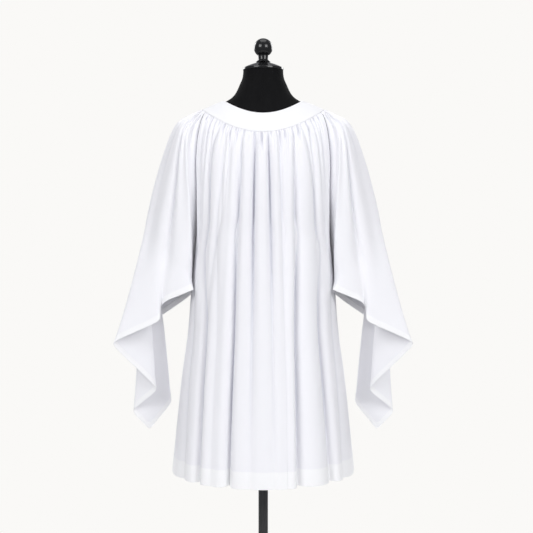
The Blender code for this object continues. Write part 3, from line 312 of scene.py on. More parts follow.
# Written for the side at +X. Levels 1 to 7 have their edges on the body's raglan seam, and the seam columns
# hold from level 8 down. The corner is the crest that hangs from the shoulder beside the body.
SLEEVE_LEVELS = rows_of(SleeveLevel, (
    (0.1493, 1.4666, 0.1560, 1.4720, -0.0340, 0.0300, 0.1610, 1.4760, 0.0000, 0.0000),
    (0.1560, 1.4585, 0.1625, 1.4655, -0.0420, 0.0380, 0.1690, 1.4725, 0.0026, 0.0022),
    (0.1645, 1.4320, 0.1760, 1.4460, -0.0650, 0.0590, 0.1895, 1.4625, 0.0060, 0.0008),
    (0.1710, 1.3850, 0.1915, 1.4155, -0.0880, 0.0800, 0.2150, 1.4505, 0.0068, 0.0000),
    (0.1738, 1.3300, 0.1975, 1.3730, -0.1010, 0.0920, 0.2310, 1.4345, 0.0062, 0.0000),
    (0.1722, 1.2520, 0.1965, 1.3110, -0.1040, 0.0950, 0.2480, 1.4030, 0.0050, 0.0000),
    (0.1725, 1.1500, 0.1905, 1.2450, -0.1020, 0.0940, 0.2623, 1.3620, 0.0040, 0.0000),
    (0.1865, 1.0200, 0.1860, 1.1800, -0.0980, 0.0910, 0.2784, 1.3140, 0.0030, 0.0000),
    (0.1885, 1.0150, 0.1825, 1.1200, -0.0930, 0.0870, 0.2997, 1.2350, 0.0020, 0.0000),
    (0.1900, 1.0100, 0.1812, 1.0640, -0.0890, 0.0840, 0.3212, 1.1400, 0.0010, 0.0000),
))
HANGING_LEVEL = len(SLEEVE_LEVELS) - 1
MOUTH = 13                           # the sleeve's last level, where it has opened into a cascade of folds
SLEEVE_SQUARENESS = 0.80             # below 1 the tube is fuller than an ellipse
SETTLING_LEVELS = 6                  # how many levels the gathers take to settle into the mouth's spacing
WALL_POWER = 1.8                     # above 1 the cloth by the body is flat at the seam, steep at the crest
WALL_LEVEL = 2                       # the level at which that starts to even out
WALL_LEVELS = 3                      # how many levels it takes
SEAM_GATHERS = 0.5                   # the width beside a seam where the cloth lies flat, in gathers

# How strongly folds are softened at some levels, as levels and strengths, and the rounds of it.
PANEL_SOFTNESS = ((0, 1, 2, 4, HEM), (0.0, 0.05, 0.15, 0.4, 1.0))
SLEEVE_SOFTNESS = ((0, 1, 2, 4, MOUTH), (0.0, 0.05, 0.2, 0.5, 0.8))
FOLD_ROUNDS = 8
TUBE_SOFTNESS = ((0, 8, 9.5, 11, 12.4, MOUTH), (0.0, 0.0, 1.0, 0.9, 0.3, 0.0))
TUBE_ROUNDS = 70
BEND_SOFTNESS = ((0, 4, 7, 11, 12.5, MOUTH), (0.0, 0.0, 1.0, 1.0, 0.0, 0.0))
BEND_ROUNDS = 200

MouthPoint = namedtuple("MouthPoint", "column around x y z early")

# A row for each turn of the cloth at the mouth: its column, its place around the tube from the back corner
# (0) past the outside (0.5) to the front corner (1), its place at the mouth, and how early the hanging cloth
# reaches that place on its way down, where 1 is evenly and 3 is in the first third.
MOUTH_POINTS = rows_of(MouthPoint, (
    (0.00, -1.00, 0.1945, 0.0000, 1.0000, 1.0),    # underarm seam
    (0.75, 0.000, 0.1795, -0.0850, 1.0026, 1.0),   # back corner
    (1.50, 0.120, 0.2570, -0.0800, 0.9692, 1.0),   # above the groove
    (1.75, 0.140, 0.2690, -0.0560, 0.9560, 1.2),   # bottom of the groove
    (2.00, 0.160, 0.2660, -0.0840, 0.9234, 1.2),   # below the groove
    (3.00, 0.410, 0.3931, -0.0750, 0.8617, 1.1),   # outer corner
    (4.00, 0.455, 0.2800, -0.0120, 0.7368, 3.0),   # first inner fold
    (4.75, 0.485, 0.3482, 0.0180, 0.6763, 1.7),    # second outer fold
    (5.25, 0.510, 0.3028, 0.0270, 0.6249, 2.6),    # hanging tip
    (5.75, 0.540, 0.2426, 0.0420, 0.7033, 3.2),    # second inner fold
    (6.75, 0.600, 0.3850, 0.0800, 0.8480, 1.1),    # outer corner of the front
    (8.25, 1.000, 0.1800, 0.0800, 1.0000, 1.0),    # front corner
    (9.00, 2.00, 0.1945, 0.0000, 1.0000, 1.0),     # underarm seam
))
SLEEVE_WIDTH = 9                     # in gathers

Trough = namedtuple("Trough", "column width top_depth mid_depth low_depth")

TROUGH_LEVELS = (0, 3, 6, 9, 12)     # none at first, then top, mid, low, and none again
SLEEVE_TROUGHS = rows_of(Trough, (
    (1.75, 0.42, 0.005, 0.006, 0.010),
    (2.55, 0.36, 0.003, 0.004, 0.004),
    (3.60, 0.40, 0.003, 0.004, 0.004),
    (5.60, 0.45, 0.004, 0.005, 0.004),
    (7.20, 0.45, 0.005, 0.006, 0.008),
))


# ---------------------------------------------------------------- working out points

def smooth(places, knots, values):
    """Values between the knots of a table, on a curve that never overshoots them."""
    places = np.asarray(places, float)
    knots = np.asarray(knots, float)
    values = np.asarray(values, float)
    steps = np.diff(knots)
    slopes = np.diff(values) / steps
    tangents = np.zeros(len(knots))
    tangents[0] = slopes[0]
    tangents[-1] = slopes[-1]
    for index in range(1, len(knots) - 1):
        before = slopes[index - 1]
        after = slopes[index]
        if before * after > 0:
            tangents[index] = 2 * before * after / (before + after)
    span = np.clip(np.searchsorted(knots, places, side="right") - 1, 0, len(steps) - 1)
    width = steps[span]
    part = np.clip((places - knots[span]) / width, 0, 1)
    start = (1 + 2 * part) * (1 - part) ** 2 * values[span]
    start_tangent = part * (1 - part) ** 2 * width * tangents[span]
    end = part ** 2 * (3 - 2 * part) * values[span + 1]
    end_tangent = part ** 2 * (part - 1) * width * tangents[span + 1]
    return start + start_tangent + end + end_tangent


def column_of(table, name, levels):
    """One named column of a table of levels, between its rows."""
    return smooth(levels, range(len(table)), [getattr(row, name) for row in table])


def columns_of(table, names, levels):
    """Several named columns of a table of levels, each as one upright column of values."""
    return [column_of(table, name, levels)[:, None] for name in names]


def ease(part):
    """From 0 to 1 with a soft start and end."""
    part = np.clip(part, 0, 1)
    return part * part * (3 - 2 * part)


def normalised(vectors):
    """Vectors of length 1 in the same directions."""
    lengths = np.linalg.norm(vectors, axis=-1, keepdims=True)
    return vectors / np.maximum(lengths, 1e-12)


def ring_points(ring, turns):
    """Points of a ring at turns from centre back (0) past the side at +X to centre front."""
    facing = np.cos(turns)
    x = ring.half_width * np.sin(turns)
    y = np.where(facing > 0, ring.back_y * facing, -ring.front_y * facing)
    end_z = np.where(facing > 0, ring.back_z, ring.front_z)
    return np.stack((x, y, ring.side_z + (end_z - ring.side_z) * facing ** 2), axis=-1)


def surface_normals(points):
    """Outward normals of a grid of points [row, column]."""
    along = np.gradient(points, axis=1)
    down = np.gradient(points, axis=0)
    return -normalised(np.cross(along, down))


def soften(points, strengths, rounds):
    """Round off folds by drawing each point toward the middle of its neighbours in the same row."""
    softened = np.array(points)
    for _ in range(rounds):
        middle = (softened[:, :-2] + softened[:, 2:]) / 2
        softened[:, 1:-1] += (middle - softened[:, 1:-1]) * strengths[:, None, None] / 2
    return softened


def soften_down(points, strengths, rounds):
    """Round off bends by drawing each point toward the middle of its neighbours in the same column."""
    softened = np.array(points)
    for _ in range(rounds):
        middle = (softened[:-2] + softened[2:]) / 2
        softened[1:-1] += (middle - softened[1:-1]) * strengths[1:-1, None, None] / 2
    return softened


def tucked(levels):
    """How far the cloth lies below the yoke's face, where it comes out from under it."""
    return TUCK * (1 - ease((levels - TUCK_START) / (TUCK_END - TUCK_START)))


def fine_amount(table, levels):
    """Depth of the fine gathers, which are there at once below the yoke's edge."""
    amount = column_of(table, "fine", np.maximum(levels, 1))
    return amount * ease(levels / FINE_START)


def fine_depth(columns, amount):
    """Depth of the fine gathers at the yoke seam, two to a gather and no two alike."""
    halves = np.arange(1, 2 * int(columns[-1]))
    (wide, slow), (narrow, fast) = FINE_SWINGS
    uneven = FINE_SHARE + wide * np.sin(slow * halves) + narrow * np.sin(fast * halves)
    shift, pace = FINE_SHIFT
    middles = halves / 2 + shift * np.sin(pace * halves)
    troughs = np.exp(-((columns[:, None] - middles[None, :]) / FINE_WIDTH) ** 2)
    return amount[:, None] * (troughs @ uneven)[None, :]


def one_sided(distance, left, right):
    """A trough of depth 1 with a narrow bottom, long soft flanks and a half width for each side."""
    return np.exp(-np.abs(distance / (FLANK * np.where(distance < 0, left, right))) ** FLANK_POWER)


def panel_creases(creases, place, levels, side):
    """How far the troughs and creases of a panel lie below the cloth around them."""
    drop = drop_at(side, levels)
    half = column_of(LEVELS, "edge_x", levels)
    sweep = np.radians(column_of(LEVELS, "sweep", levels))
    depth = np.zeros(place.shape)
    for row in creases:
        across = smooth(drop, CREASE_PLACES, row[:5]) / 1000
        depths = smooth(drop, CREASE_DEPTHS, (0,) + row[5:10]) / 1000
        turn = np.arcsin(np.clip(across * np.sin(sweep) / half, -1, 1))
        # One step across the panel, in metres, at this trough.
        step = half * sweep / np.sin(sweep)
        wider = (1 + (row.spread - 1) * drop / CREASE_PLACES[-1])[:, None]
        distance = (place - (turn / sweep)[:, None]) * step[:, None]
        shape = one_sided(distance, row.left / 1000 * wider, row.right / 1000 * wider)
        depth += depths[:, None] * shape
    return depth


def sleeve_creases(creases, columns, levels):
    """How far the troughs and creases of a sleeve lie below the cloth around them."""
    depth = np.zeros((len(levels), len(columns)))
    for row in creases:
        part = (levels - row.top_level) / (row.low_level - row.top_level)
        centre = smooth(part, (0, 0.5, 1), (row.top_column, row.mid_column, row.low_column))
        width = row.top_width + (row.low_width - row.top_width) * np.clip(part, 0, 1)
        depths = (0, CREASE_HEAD * row.upper_depth, row.upper_depth, row.lower_depth, 0)
        depths = smooth(part, CREASE_PARTS, depths) / 1000
        depths = depths * (part > 0) * (part < 1)
        across = (columns[None, :] - centre[:, None]) / width[:, None]
        depth += depths[:, None] * np.exp(-across ** 2)
    return depth


# ---------------------------------------------------------------- body panels

def drop_at(side, levels):
    """How far each level lies below the yoke seam at the panel's middle."""
    height = column_of(LEVELS, side + "_z", levels)
    return getattr(LEVELS[0], side + "_z") - height


def fold_place_and_depth(folds, columns, levels, side):
    """Where each column lies across the panel, from -1 to 1, and how far its folds draw it in."""
    drop = drop_at(side, levels)
    place_drops = drop_at(side, np.array(FOLD_LEVELS, float))
    depth_drops = drop_at(side, np.array(DEPTH_LEVELS, float))
    starts = np.cumsum([0] + [fold.gathers for fold in folds[:-1]])
    shape = (len(levels), len(columns))
    place = np.zeros(shape)
    depth = np.zeros(shape)
    for index in range(len(folds) - 1):
        left = folds[index]
        right = folds[index + 1]
        inside = (columns >= starts[index] - 1e-9) & (columns <= starts[index + 1] + 1e-9)
        part = np.clip((columns[inside] - starts[index]) / left.gathers, 0, 1)[None, :]
        left_s = smooth(drop, place_drops, left[1:5])[:, None]
        right_s = smooth(drop, place_drops, right[1:5])[:, None]
        left_depth = smooth(drop, depth_drops, (0,) + left[5:9])[:, None]
        right_depth = smooth(drop, depth_drops, (0,) + right[5:9])[:, None]
        drawn = np.clip((left_depth + right_depth) / (2 * CROWDED_DEPTH), 0, 1)
        moved = part - drawn * CROWDING * np.sin(2 * math.pi * part) / (2 * math.pi)
        place[:, inside] = left_s + (right_s - left_s) * moved
        crest = np.sin(math.pi * part) ** CREST_ROUNDNESS
        depth[:, inside] = (left_depth + (right_depth - left_depth) * part) * (1 - crest)
    return place, depth


def panel_points(side, folds, creases, columns, levels):
    """Outer points of a body panel, columns from its left edge to its right as seen from outside."""
    is_back = side == "back"
    place, depth = fold_place_and_depth(folds, columns, levels, side)
    names = ("edge_x", "edge_z", "edge_%s_y" % side, side + "_y", side + "_z", "sweep")
    edge_x, edge_z, edge_y, middle_y, middle_z, degrees = columns_of(LEVELS, names, levels)
    sweep = np.radians(degrees)

    turn = place * sweep
    fullness = np.maximum(np.cos(turn), 0) ** PANEL_SQUARENESS
    edge_fullness = np.maximum(np.cos(sweep), 0) ** PANEL_SQUARENESS
    toward_middle = (fullness - edge_fullness) / (1 - edge_fullness)
    toward_edge = (1 - np.cos(turn)) / (1 - np.cos(sweep))
    facing = 1 if is_back else -1
    x = facing * edge_x * np.sin(turn) / np.sin(sweep)
    y = edge_y + (middle_y - edge_y) * toward_middle
    z = middle_z + (edge_z - middle_z) * toward_edge
    points = np.stack((x, y, z), axis=-1)

    # The top of the panel leaves the yoke's own ring.
    ring = ring_points(YOKE_SEAM, place[0] * RAGLAN_TURN + (0 if is_back else math.pi))
    leaving = (1 - ease(levels / LEAVING_LEVEL))[:, None, None]
    points = points + (ring[None] - points[:1]) * leaving

    # The crests stand out and the troughs lie between them. The seams stay where they are.
    count = sum(fold.gathers for fold in folds)
    fine = fine_amount(LEVELS, levels)
    crest = column_of(LEVELS, "gather", levels) * CREST_SHARE + fine * FINE_RISE
    sunk = depth + fine_depth(columns, fine) + panel_creases(creases, place, levels, side)
    from_edge = ease(np.minimum(columns, count - columns) / SEAM_GATHERS)[None, :]
    moved = (crest[:, None] - sunk) * from_edge
    moved = moved - tucked(levels)[:, None]
    points = points + surface_normals(points) * moved[..., None]
    # The hem is drawn up a little where the cloth lies in a trough.
    rising = ease((levels - HEM + HEM_RISE_LEVELS) / HEM_RISE_LEVELS)[:, None]
    points[..., 2] += HEM_RISE * sunk * from_edge * rising
    return points


# ---------------------------------------------------------------- sleeves

def sleeve_section(columns, levels):
    """Outer points of the sleeve's tube above the mouth, for the side at +X."""
    seam_x, seam_z, corner_x, corner_z, back_y, front_y, out_x, out_z = columns_of(
        SLEEVE_LEVELS, SleeveLevel._fields[:8], levels)
    edge_back_y, edge_front_y = columns_of(LEVELS, ("edge_back_y", "edge_front_y"), levels)

    back_corner = MOUTH_POINTS[1].column
    front_corner = MOUTH_POINTS[-2].column
    inner = MOUTH_POINTS[1:-1]
    crowded = smooth(columns, [point.column for point in inner], [point.around for point in inner])[None, :]
    even = np.clip((columns - back_corner) / (front_corner - back_corner), 0, 1)[None, :]
    settled = ease((levels - 1) / SETTLING_LEVELS)[:, None]
    around = even + (crowded - even) * settled

    turn = around * math.pi
    outward = np.abs(np.sin(turn)) ** SLEEVE_SQUARENESS
    facing = np.sign(np.cos(turn)) * np.abs(np.cos(turn)) ** SLEEVE_SQUARENESS
    x = corner_x + (out_x - corner_x) * outward
    y = np.where(facing > 0, back_y * facing, -front_y * facing)
    z = corner_z + (out_z - corner_z) * outward

    rows = np.ones((len(levels), 1))
    flatness = (1 + (WALL_POWER - 1) * (1 - ease((levels - WALL_LEVEL) / WALL_LEVELS)))[:, None]
    to_back = np.clip(columns / back_corner, 0, 1)[None, :] * rows
    to_front = np.clip((SLEEVE_WIDTH - columns) / (SLEEVE_WIDTH - front_corner), 0, 1)[None, :] * rows
    for part, edge_y, corner_y in ((to_back, edge_back_y, back_y), (to_front, edge_front_y, front_y)):
        x = np.where(part < 1, seam_x + (corner_x - seam_x) * part, x)
        y = np.where(part < 1, edge_y + (corner_y - edge_y) * part ** flatness, y)
        z = np.where(part < 1, seam_z + (corner_z - seam_z) * part, z)
    return np.stack((x, y, z), axis=-1)


def mouth_outline(columns):
    """Points of the sleeve's mouth, round every turn of its cascade."""
    knots = np.array([point.column for point in MOUTH_POINTS])
    span = np.clip(np.searchsorted(knots, columns, side="right") - 1, 0, len(knots) - 2)
    part = (columns - knots[span]) / (knots[span + 1] - knots[span])
    swing = (part + (1 - np.cos(math.pi * part)) / 2) / 2
    ends = np.array([(point.x, point.y, point.z) for point in MOUTH_POINTS])
    mixed = np.stack((swing, part, (swing + part) / 2), axis=-1)
    return ends[span] + (ends[span + 1] - ends[span]) * mixed


def sleeve_points(columns, levels):
    """Outer points of the sleeve at +X, columns from its back edge over the outside to its front edge."""
    upper = np.minimum(levels, HANGING_LEVEL)
    points = sleeve_section(columns, upper)
    turns = RAGLAN_TURN + (math.pi - 2 * RAGLAN_TURN) * columns / SLEEVE_WIDTH
    leaving = (1 - ease(levels / LEAVING_LEVEL))[:, None, None]
    points = points + (ring_points(YOKE_SEAM, turns)[None] - points[:1]) * leaving

    hanging = np.clip((levels - HANGING_LEVEL) / (MOUTH - HANGING_LEVEL), 0, 1)[:, None]
    early = smooth(columns, [point.column for point in MOUTH_POINTS],
                   [point.early for point in MOUTH_POINTS])[None, :]
    opened = 1 - (1 - hanging) ** early
    weights = np.stack((opened, opened, hanging * np.ones_like(opened)), axis=-1)
    return points + (mouth_outline(columns)[None, :, :] - points) * weights


def sleeve_relief(creases, columns, levels):
    """How far the gathers, troughs and creases move each point of a sleeve outwards."""
    upper = np.minimum(levels, HANGING_LEVEL)
    fine = fine_amount(SLEEVE_LEVELS, upper)
    crest = column_of(SLEEVE_LEVELS, "gather", upper) * CREST_SHARE + fine * FINE_RISE
    sunk = fine_depth(columns, fine) + sleeve_creases(creases, columns, levels)
    for trough in SLEEVE_TROUGHS:
        depths = (0, trough.top_depth, trough.mid_depth, trough.low_depth, 0)
        depth = smooth(levels, TROUGH_LEVELS, depths)[:, None]
        sunk = sunk + depth * np.exp(-((columns - trough.column) / trough.width) ** 2)[None, :]
    from_edge = ease(np.minimum(columns, SLEEVE_WIDTH - columns) / SEAM_GATHERS)[None, :]
    still = 1 - ease((levels - HANGING_LEVEL) / (MOUTH - HANGING_LEVEL))
    moved = (crest[:, None] - sunk) * from_edge * still[:, None]
    return moved - tucked(levels)[:, None]


# ---------------------------------------------------------------- sheets of cloth

Sheet = namedtuple("Sheet", "piece points normals above")


def select_only(piece):
    """Select one piece, and nothing else, and make it the active one."""
    bpy.ops.object.select_all(action="DESELECT")
    piece.select_set(True)
    bpy.context.view_layer.objects.active = piece


def edit_only(piece):
    """Open one piece in edit mode with all of it selected."""
    select_only(piece)
    bpy.ops.object.mode_set(mode="EDIT")
    bpy.ops.mesh.select_all(action="SELECT")


def finish_piece(piece, material, angle=50):
    """Shade a finished piece, give it its material and let it ride on the form."""
    select_only(piece)
    bpy.ops.object.shade_smooth_by_angle(angle=math.radians(angle))
    piece.data.materials.clear()
    piece.data.materials.append(material)
    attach(piece, "root")


def lengths_down(points):
    """How far each point lies along the cloth from the top of its column."""
    steps = np.linalg.norm(np.diff(points, axis=0), axis=-1)
    return np.concatenate((np.zeros((1,) + steps.shape[1:]), np.cumsum(steps, axis=0)))


def respaced(points, keep, near_top, near_bottom):
    """Points of fewer rows, the first and last of them at set distances from the cloth's two edges.

    keep is which of the rows between are kept. They are drawn together to make room for the others.
    Returns the points and how far each lies above the lower edge and below the upper one.
    """
    run = lengths_down(points)
    whole = run[-1]
    first = near_top[-1] if len(near_top) else 0.0
    last = near_bottom[0]
    between = first + run[keep] * ((whole - first - last) / whole)[None, :]
    top = np.array(near_top)[:, None] + np.zeros_like(whole)[None, :]
    bottom = whole[None, :] - np.array(near_bottom)[:, None]
    places = np.concatenate((top[:-1], between, bottom[1:]))
    moved = np.empty(places.shape + (3,))
    for column in range(points.shape[1]):
        for axis in range(3):
            moved[:, column, axis] = np.interp(places[:, column], run[:, column], points[:, column, axis])
    return moved, whole[None, :] - places, places


def rows_of_hem(hem):
    """Distances above the edge at which a sheet has its last rows."""
    step = (0.0070, 0.0040, 0.0020, 0.0008, 0.0, -0.0008, -STITCH_INSET, -0.0023, -0.0034, -0.0060)
    upper = [hem + distance for distance in step]
    lower = [0.0040, 0.0020, 0.0010, 0.0004, 0.0]
    count = max(1, int((upper[-1] - lower[0]) / 0.0070))
    between = np.linspace(upper[-1], lower[0], count + 1)[1:-1]
    return upper + list(between) + lower


def from_sides(points):
    """How far each point lies along the cloth from the nearer side edge."""
    from_left = lengths_down(points.swapaxes(0, 1)).T
    return np.minimum(from_left, from_left[:, -1:] - from_left)


def painted_shade_amounts(points, above, below, rounds, shaded_length):
    """How much painted shade each point gets, from 0 on a crest to 1 in a deep trough, by how deep it lies in
    a fold.
    """
    flattened = soften(points, np.ones(len(points)), rounds)
    depth = np.sum((flattened - points) * surface_normals(flattened), axis=-1)
    deepest = FINE_HOLLOW + (DEEP_HOLLOW - FINE_HOLLOW) * ease(below / GATHERED_LENGTH)
    shade_in_folds = np.clip(depth / deepest, 0, 1) * ease(above / OPEN_LENGTH)
    shade_in_folds = shade_in_folds * (1 - ease((below - shaded_length) / SHADE_FADE))
    # Painted shade in the valley between a sleeve and the body, down to the underarm.
    edge_z = points[:, :1, 2]
    valley = ease((edge_z - VALLEY_FOOT) / VALLEY_FADE) * ease((VALLEY_HEAD - edge_z) / VALLEY_FADE)
    shade_in_valley = np.exp(-(from_sides(points) / VALLEY_WIDTH) ** 2) * valley
    return np.maximum(shade_in_folds, shade_in_valley)


def make_sheet(name, points, above, below, thickness, layers, lengths, material,
               rounds=HOLLOW_ROUNDS, shaded_length=1.0):
    """A thin sheet of cloth whose outer face has the given points.

    thickness and layers are given for each point, and layers is 1 where the cloth is double and 0 where it
    is single. lengths are the sheet's flat width and length.
    """
    rows, columns = points.shape[:2]
    normals = surface_normals(points)
    bpy.ops.object.select_all(action="DESELECT")
    bpy.ops.mesh.primitive_grid_add(x_subdivisions=columns - 1, y_subdivisions=rows - 1, size=1)
    piece = bpy.context.object
    piece.name = name
    mesh = piece.data
    mesh.name = name
    # The grid's rows run up from the lower edge.
    mesh.vertices.foreach_set("co", points[::-1].ravel())
    across, along = np.meshgrid(np.linspace(0, 1, columns), np.linspace(0, 1, rows))
    flat = np.stack((across * lengths[0], along * lengths[1]), axis=-1).reshape(-1, 2)
    corner = np.zeros(len(mesh.loops), np.int32)
    mesh.loops.foreach_get("vertex_index", corner)
    mesh.uv_layers[0].name = "cloth"
    mesh.uv_layers[0].data.foreach_set("uv", flat[corner].ravel())
    mesh.attributes.new("layers", "FLOAT", "POINT").data.foreach_set("value", layers[::-1].ravel())
    # Painted shade for the material, strongest deep in the folds and in the valley beside a sleeve.
    mesh.attributes.new("painted_shade", "FLOAT", "POINT").data.foreach_set(
        "value", painted_shade_amounts(points, above, below, rounds, shaded_length)[::-1].ravel())
    mesh.update()

    group = piece.vertex_groups.new(name="thickness")
    thickest = thickness.max()
    weights = np.round(thickness[::-1].ravel() / thickest, 2)
    for weight in np.unique(weights):
        group.add(np.flatnonzero(weights == weight).tolist(), float(weight), "REPLACE")
    wall = piece.modifiers.new("wall", "SOLIDIFY")
    wall.thickness = thickest
    wall.offset = -1
    wall.vertex_group = "thickness"
    bpy.context.view_layer.objects.active = piece
    bpy.ops.object.modifier_apply(modifier="wall")
    finish_piece(piece, material)
    return Sheet(piece, points, normals, above)


def make_hemmed_sheet(name, points, keep, hem, lengths, material,
                      rounds=HOLLOW_ROUNDS, shaded_length=1.0):
    """A sheet of single cloth, turned up double and stitched along its lower edge."""
    points, above, below = respaced(points, keep, (), rows_of_hem(hem))
    normals = surface_normals(points)
    layers = 1 - ease((above - hem) / HEM_STEP)
    round_edge = 1 - ease(above / HEM_ROUNDING)
    groove = STITCH_DENT * np.exp(-((above - hem + STITCH_INSET) / HEM_GROOVE) ** 2)
    thickness = SINGLE_CLOTH + (DOUBLE_CLOTH - SINGLE_CLOTH) * layers * (1 - HEM_THINNING * round_edge)
    proud = (DOUBLE_CLOTH - SINGLE_CLOTH) / 2 * layers - groove - HEM_DRAW * round_edge
    points = points + normals * proud[..., None]
    return make_sheet(name, points, above, below, thickness, layers, lengths, material,
                      rounds, shaded_length)


def dip_edges(points):
    """Let the cloth dip softly into the seams at its sides."""
    dip = SEAM_DIP * (1 - ease(from_sides(points) / SEAM_WIDTH))
    return points - surface_normals(points) * dip[..., None]


def sheet_levels(spans):
    """Levels of a sheet's rows, closer than they are kept, and which of them are kept."""
    levels = [np.array((0.0,))]
    for first, last, rows in spans:
        levels.append(np.linspace(first, last, rows * ROW_SAMPLES + 1)[1:])
    levels = np.concatenate(levels)
    return levels, np.arange(0, len(levels), ROW_SAMPLES)


# ---------------------------------------------------------------- stitches

def stitch_shape():
    """One stitch: the points of a small ball along X, Y and Z, and its faces."""
    bpy.ops.object.select_all(action="DESELECT")
    bpy.ops.mesh.primitive_uv_sphere_add(segments=5, ring_count=4, radius=1)
    ball = bpy.context.object
    edit_only(ball)
    bpy.ops.transform.rotate(value=math.pi / 2, orient_axis="Y", center_override=(0, 0, 0))
    bpy.ops.object.mode_set(mode="OBJECT")
    points = np.array([vertex.co[:] for vertex in ball.data.vertices])
    faces = [tuple(face.vertices) for face in ball.data.polygons]
    bpy.data.objects.remove(ball)
    return points, faces


def stitch_run(name, path, normals, material):
    """A row of small round stitches along a path on the cloth, all in one piece."""
    distance = lengths_down(path)
    count = max(2, int(distance[-1] / STITCH_PITCH))
    middles = (np.arange(count) + 0.5) * distance[-1] / count

    def along(values, places):
        """Values at some places along the path."""
        return np.stack([np.interp(places, distance, values[:, axis]) for axis in range(3)], axis=-1)

    centre = along(path, middles)
    forward = normalised(along(path, middles + STITCH_LENGTH / 2) - along(path, middles - STITCH_LENGTH / 2))
    side = normalised(np.cross(along(normals, middles), forward))
    up = np.cross(forward, side)
    shape, shape_faces = STITCH
    sunk = -STITCH_SUNK * shape[:, 0] ** 2
    points = (centre[:, None, :]
              + forward[:, None, :] * (shape[:, 0] * STITCH_LENGTH / 2)[None, :, None]
              + side[:, None, :] * (shape[:, 1] * THREAD_RADIUS)[None, :, None]
              + up[:, None, :] * (shape[:, 2] * THREAD_RADIUS + sunk + THREAD_RADIUS / 2)[None, :, None])
    faces = [tuple(index * len(shape) + corner for corner in face)
             for index in range(count) for face in shape_faces]
    mesh = bpy.data.meshes.new(name)
    mesh.from_pydata(points.reshape(-1, 3).tolist(), [], faces)
    piece = bpy.data.objects.new(name, mesh)
    bpy.context.scene.collection.objects.link(piece)
    edit_only(piece)
    bpy.ops.mesh.normals_make_consistent(inside=False)
    bpy.ops.object.mode_set(mode="OBJECT")
    finish_piece(piece, material, angle=90)
    return piece


def hem_stitches(sheet, name, hem):
    """Stitches along the upper edge of a sheet's hem."""
    row = int(np.argmin(np.abs(sheet.above[:, 0] - (hem - STITCH_INSET))))
    return stitch_run(name, sheet.points[row], sheet.normals[row], THREAD)


# ---------------------------------------------------------------- shader node groups

def new_group(name, inputs, outputs):
    """A shader node group with named sockets. Returns it with its input and output nodes."""
    group = bpy.data.node_groups.new(name, "ShaderNodeTree")
    for socket_name, kind, value in inputs:
        socket = group.interface.new_socket(name=socket_name, in_out="INPUT", socket_type=kind)
        if value is not None:
            socket.default_value = value
    for socket_name, kind in outputs:
        group.interface.new_socket(name=socket_name, in_out="OUTPUT", socket_type=kind)
    return group, group.nodes.new("NodeGroupInput"), group.nodes.new("NodeGroupOutput")


def feed(tree, value, socket):
    """Link an output to a socket, or give the socket a value."""
    if isinstance(value, bpy.types.NodeSocket):
        tree.links.new(value, socket)
    else:
        socket.default_value = value


def math_node(tree, operation, first, second=None):
    """The output of a Math node whose inputs are numbers or other outputs."""
    node = tree.nodes.new("ShaderNodeMath")
    node.operation = operation
    for socket, value in zip(node.inputs, (first, second)):
        if value is not None:
            feed(tree, value, socket)
    return node.outputs[0]


def mix_colour(tree, factor, first, second):
    """The output of a colour Mix node."""
    node = tree.nodes.new("ShaderNodeMix")
    node.data_type = "RGBA"
    # The Mix node has a socket of each kind under the same names: 6 and 7 are its colours.
    for index, value in ((0, factor), (6, first), (7, second)):
        feed(tree, value, node.inputs[index])
    return node.outputs[2]


def noise(tree, vector, scale, detail=2.0):
    """The output of a Noise node. Its scale is a number or another output."""
    node = tree.nodes.new("ShaderNodeTexNoise")
    node.inputs["Detail"].default_value = detail
    tree.links.new(vector, node.inputs["Vector"])
    feed(tree, scale, node.inputs["Scale"])
    return node.outputs[0]


def plain_weave_group():
    """Threads over and under each other, from coordinates in metres of flat cloth."""
    group, given, made = new_group("plain weave", (
        ("Cloth Place", "NodeSocketVector", None),
        ("Thread Pitch", "NodeSocketFloat", 0.0005),
    ), (("Height", "NodeSocketFloat"), ("Slub", "NodeSocketFloat")))
    split = group.nodes.new("ShaderNodeSeparateXYZ")
    group.links.new(given.outputs["Cloth Place"], split.inputs[0])
    turns = math_node(group, "DIVIDE", math.pi, given.outputs["Thread Pitch"])
    warp = math_node(group, "SINE", math_node(group, "MULTIPLY", split.outputs["X"], turns))
    weft = math_node(group, "SINE", math_node(group, "MULTIPLY", split.outputs["Y"], turns))
    crossing = math_node(group, "MULTIPLY", warp, weft)
    group.links.new(math_node(group, "ABSOLUTE", crossing), made.inputs["Height"])
    stretch = group.nodes.new("ShaderNodeMapping")
    stretch.inputs["Scale"].default_value = (1.0, 14.0, 1.0)
    group.links.new(given.outputs["Cloth Place"], stretch.inputs["Vector"])
    group.links.new(noise(group, stretch.outputs[0], 55.0, 3.0), made.inputs["Slub"])
    return group


def pressed_cloth_group():
    """Slight waviness left in cotton after pressing, and its faint change of tone."""
    group, given, made = new_group("pressed cloth", (
        ("Place", "NodeSocketVector", None),
        ("Waves A Metre", "NodeSocketFloat", 18.0),
    ), (("Height", "NodeSocketFloat"), ("Tone", "NodeSocketFloat")))
    stretch = group.nodes.new("ShaderNodeMapping")
    stretch.inputs["Scale"].default_value = (1.0, 1.0, 0.35)
    group.links.new(given.outputs["Place"], stretch.inputs["Vector"])
    waves = noise(group, stretch.outputs[0], given.outputs["Waves A Metre"])
    group.links.new(waves, made.inputs["Height"])
    group.links.new(noise(group, given.outputs["Place"], 4.0), made.inputs["Tone"])
    return group


def speckle_group():
    """Fine grain of a sprayed or brushed coat."""
    group, given, made = new_group("coat grain", (
        ("Place", "NodeSocketVector", None),
        ("Grains A Metre", "NodeSocketFloat", 900.0),
    ), (("Height", "NodeSocketFloat"), ("Dust", "NodeSocketFloat")))
    grain = noise(group, given.outputs["Place"], given.outputs["Grains A Metre"], 1.0)
    group.links.new(grain, made.inputs["Height"])
    group.links.new(noise(group, given.outputs["Place"], 24.0, 4.0), made.inputs["Dust"])
    return group


# ---------------------------------------------------------------- materials

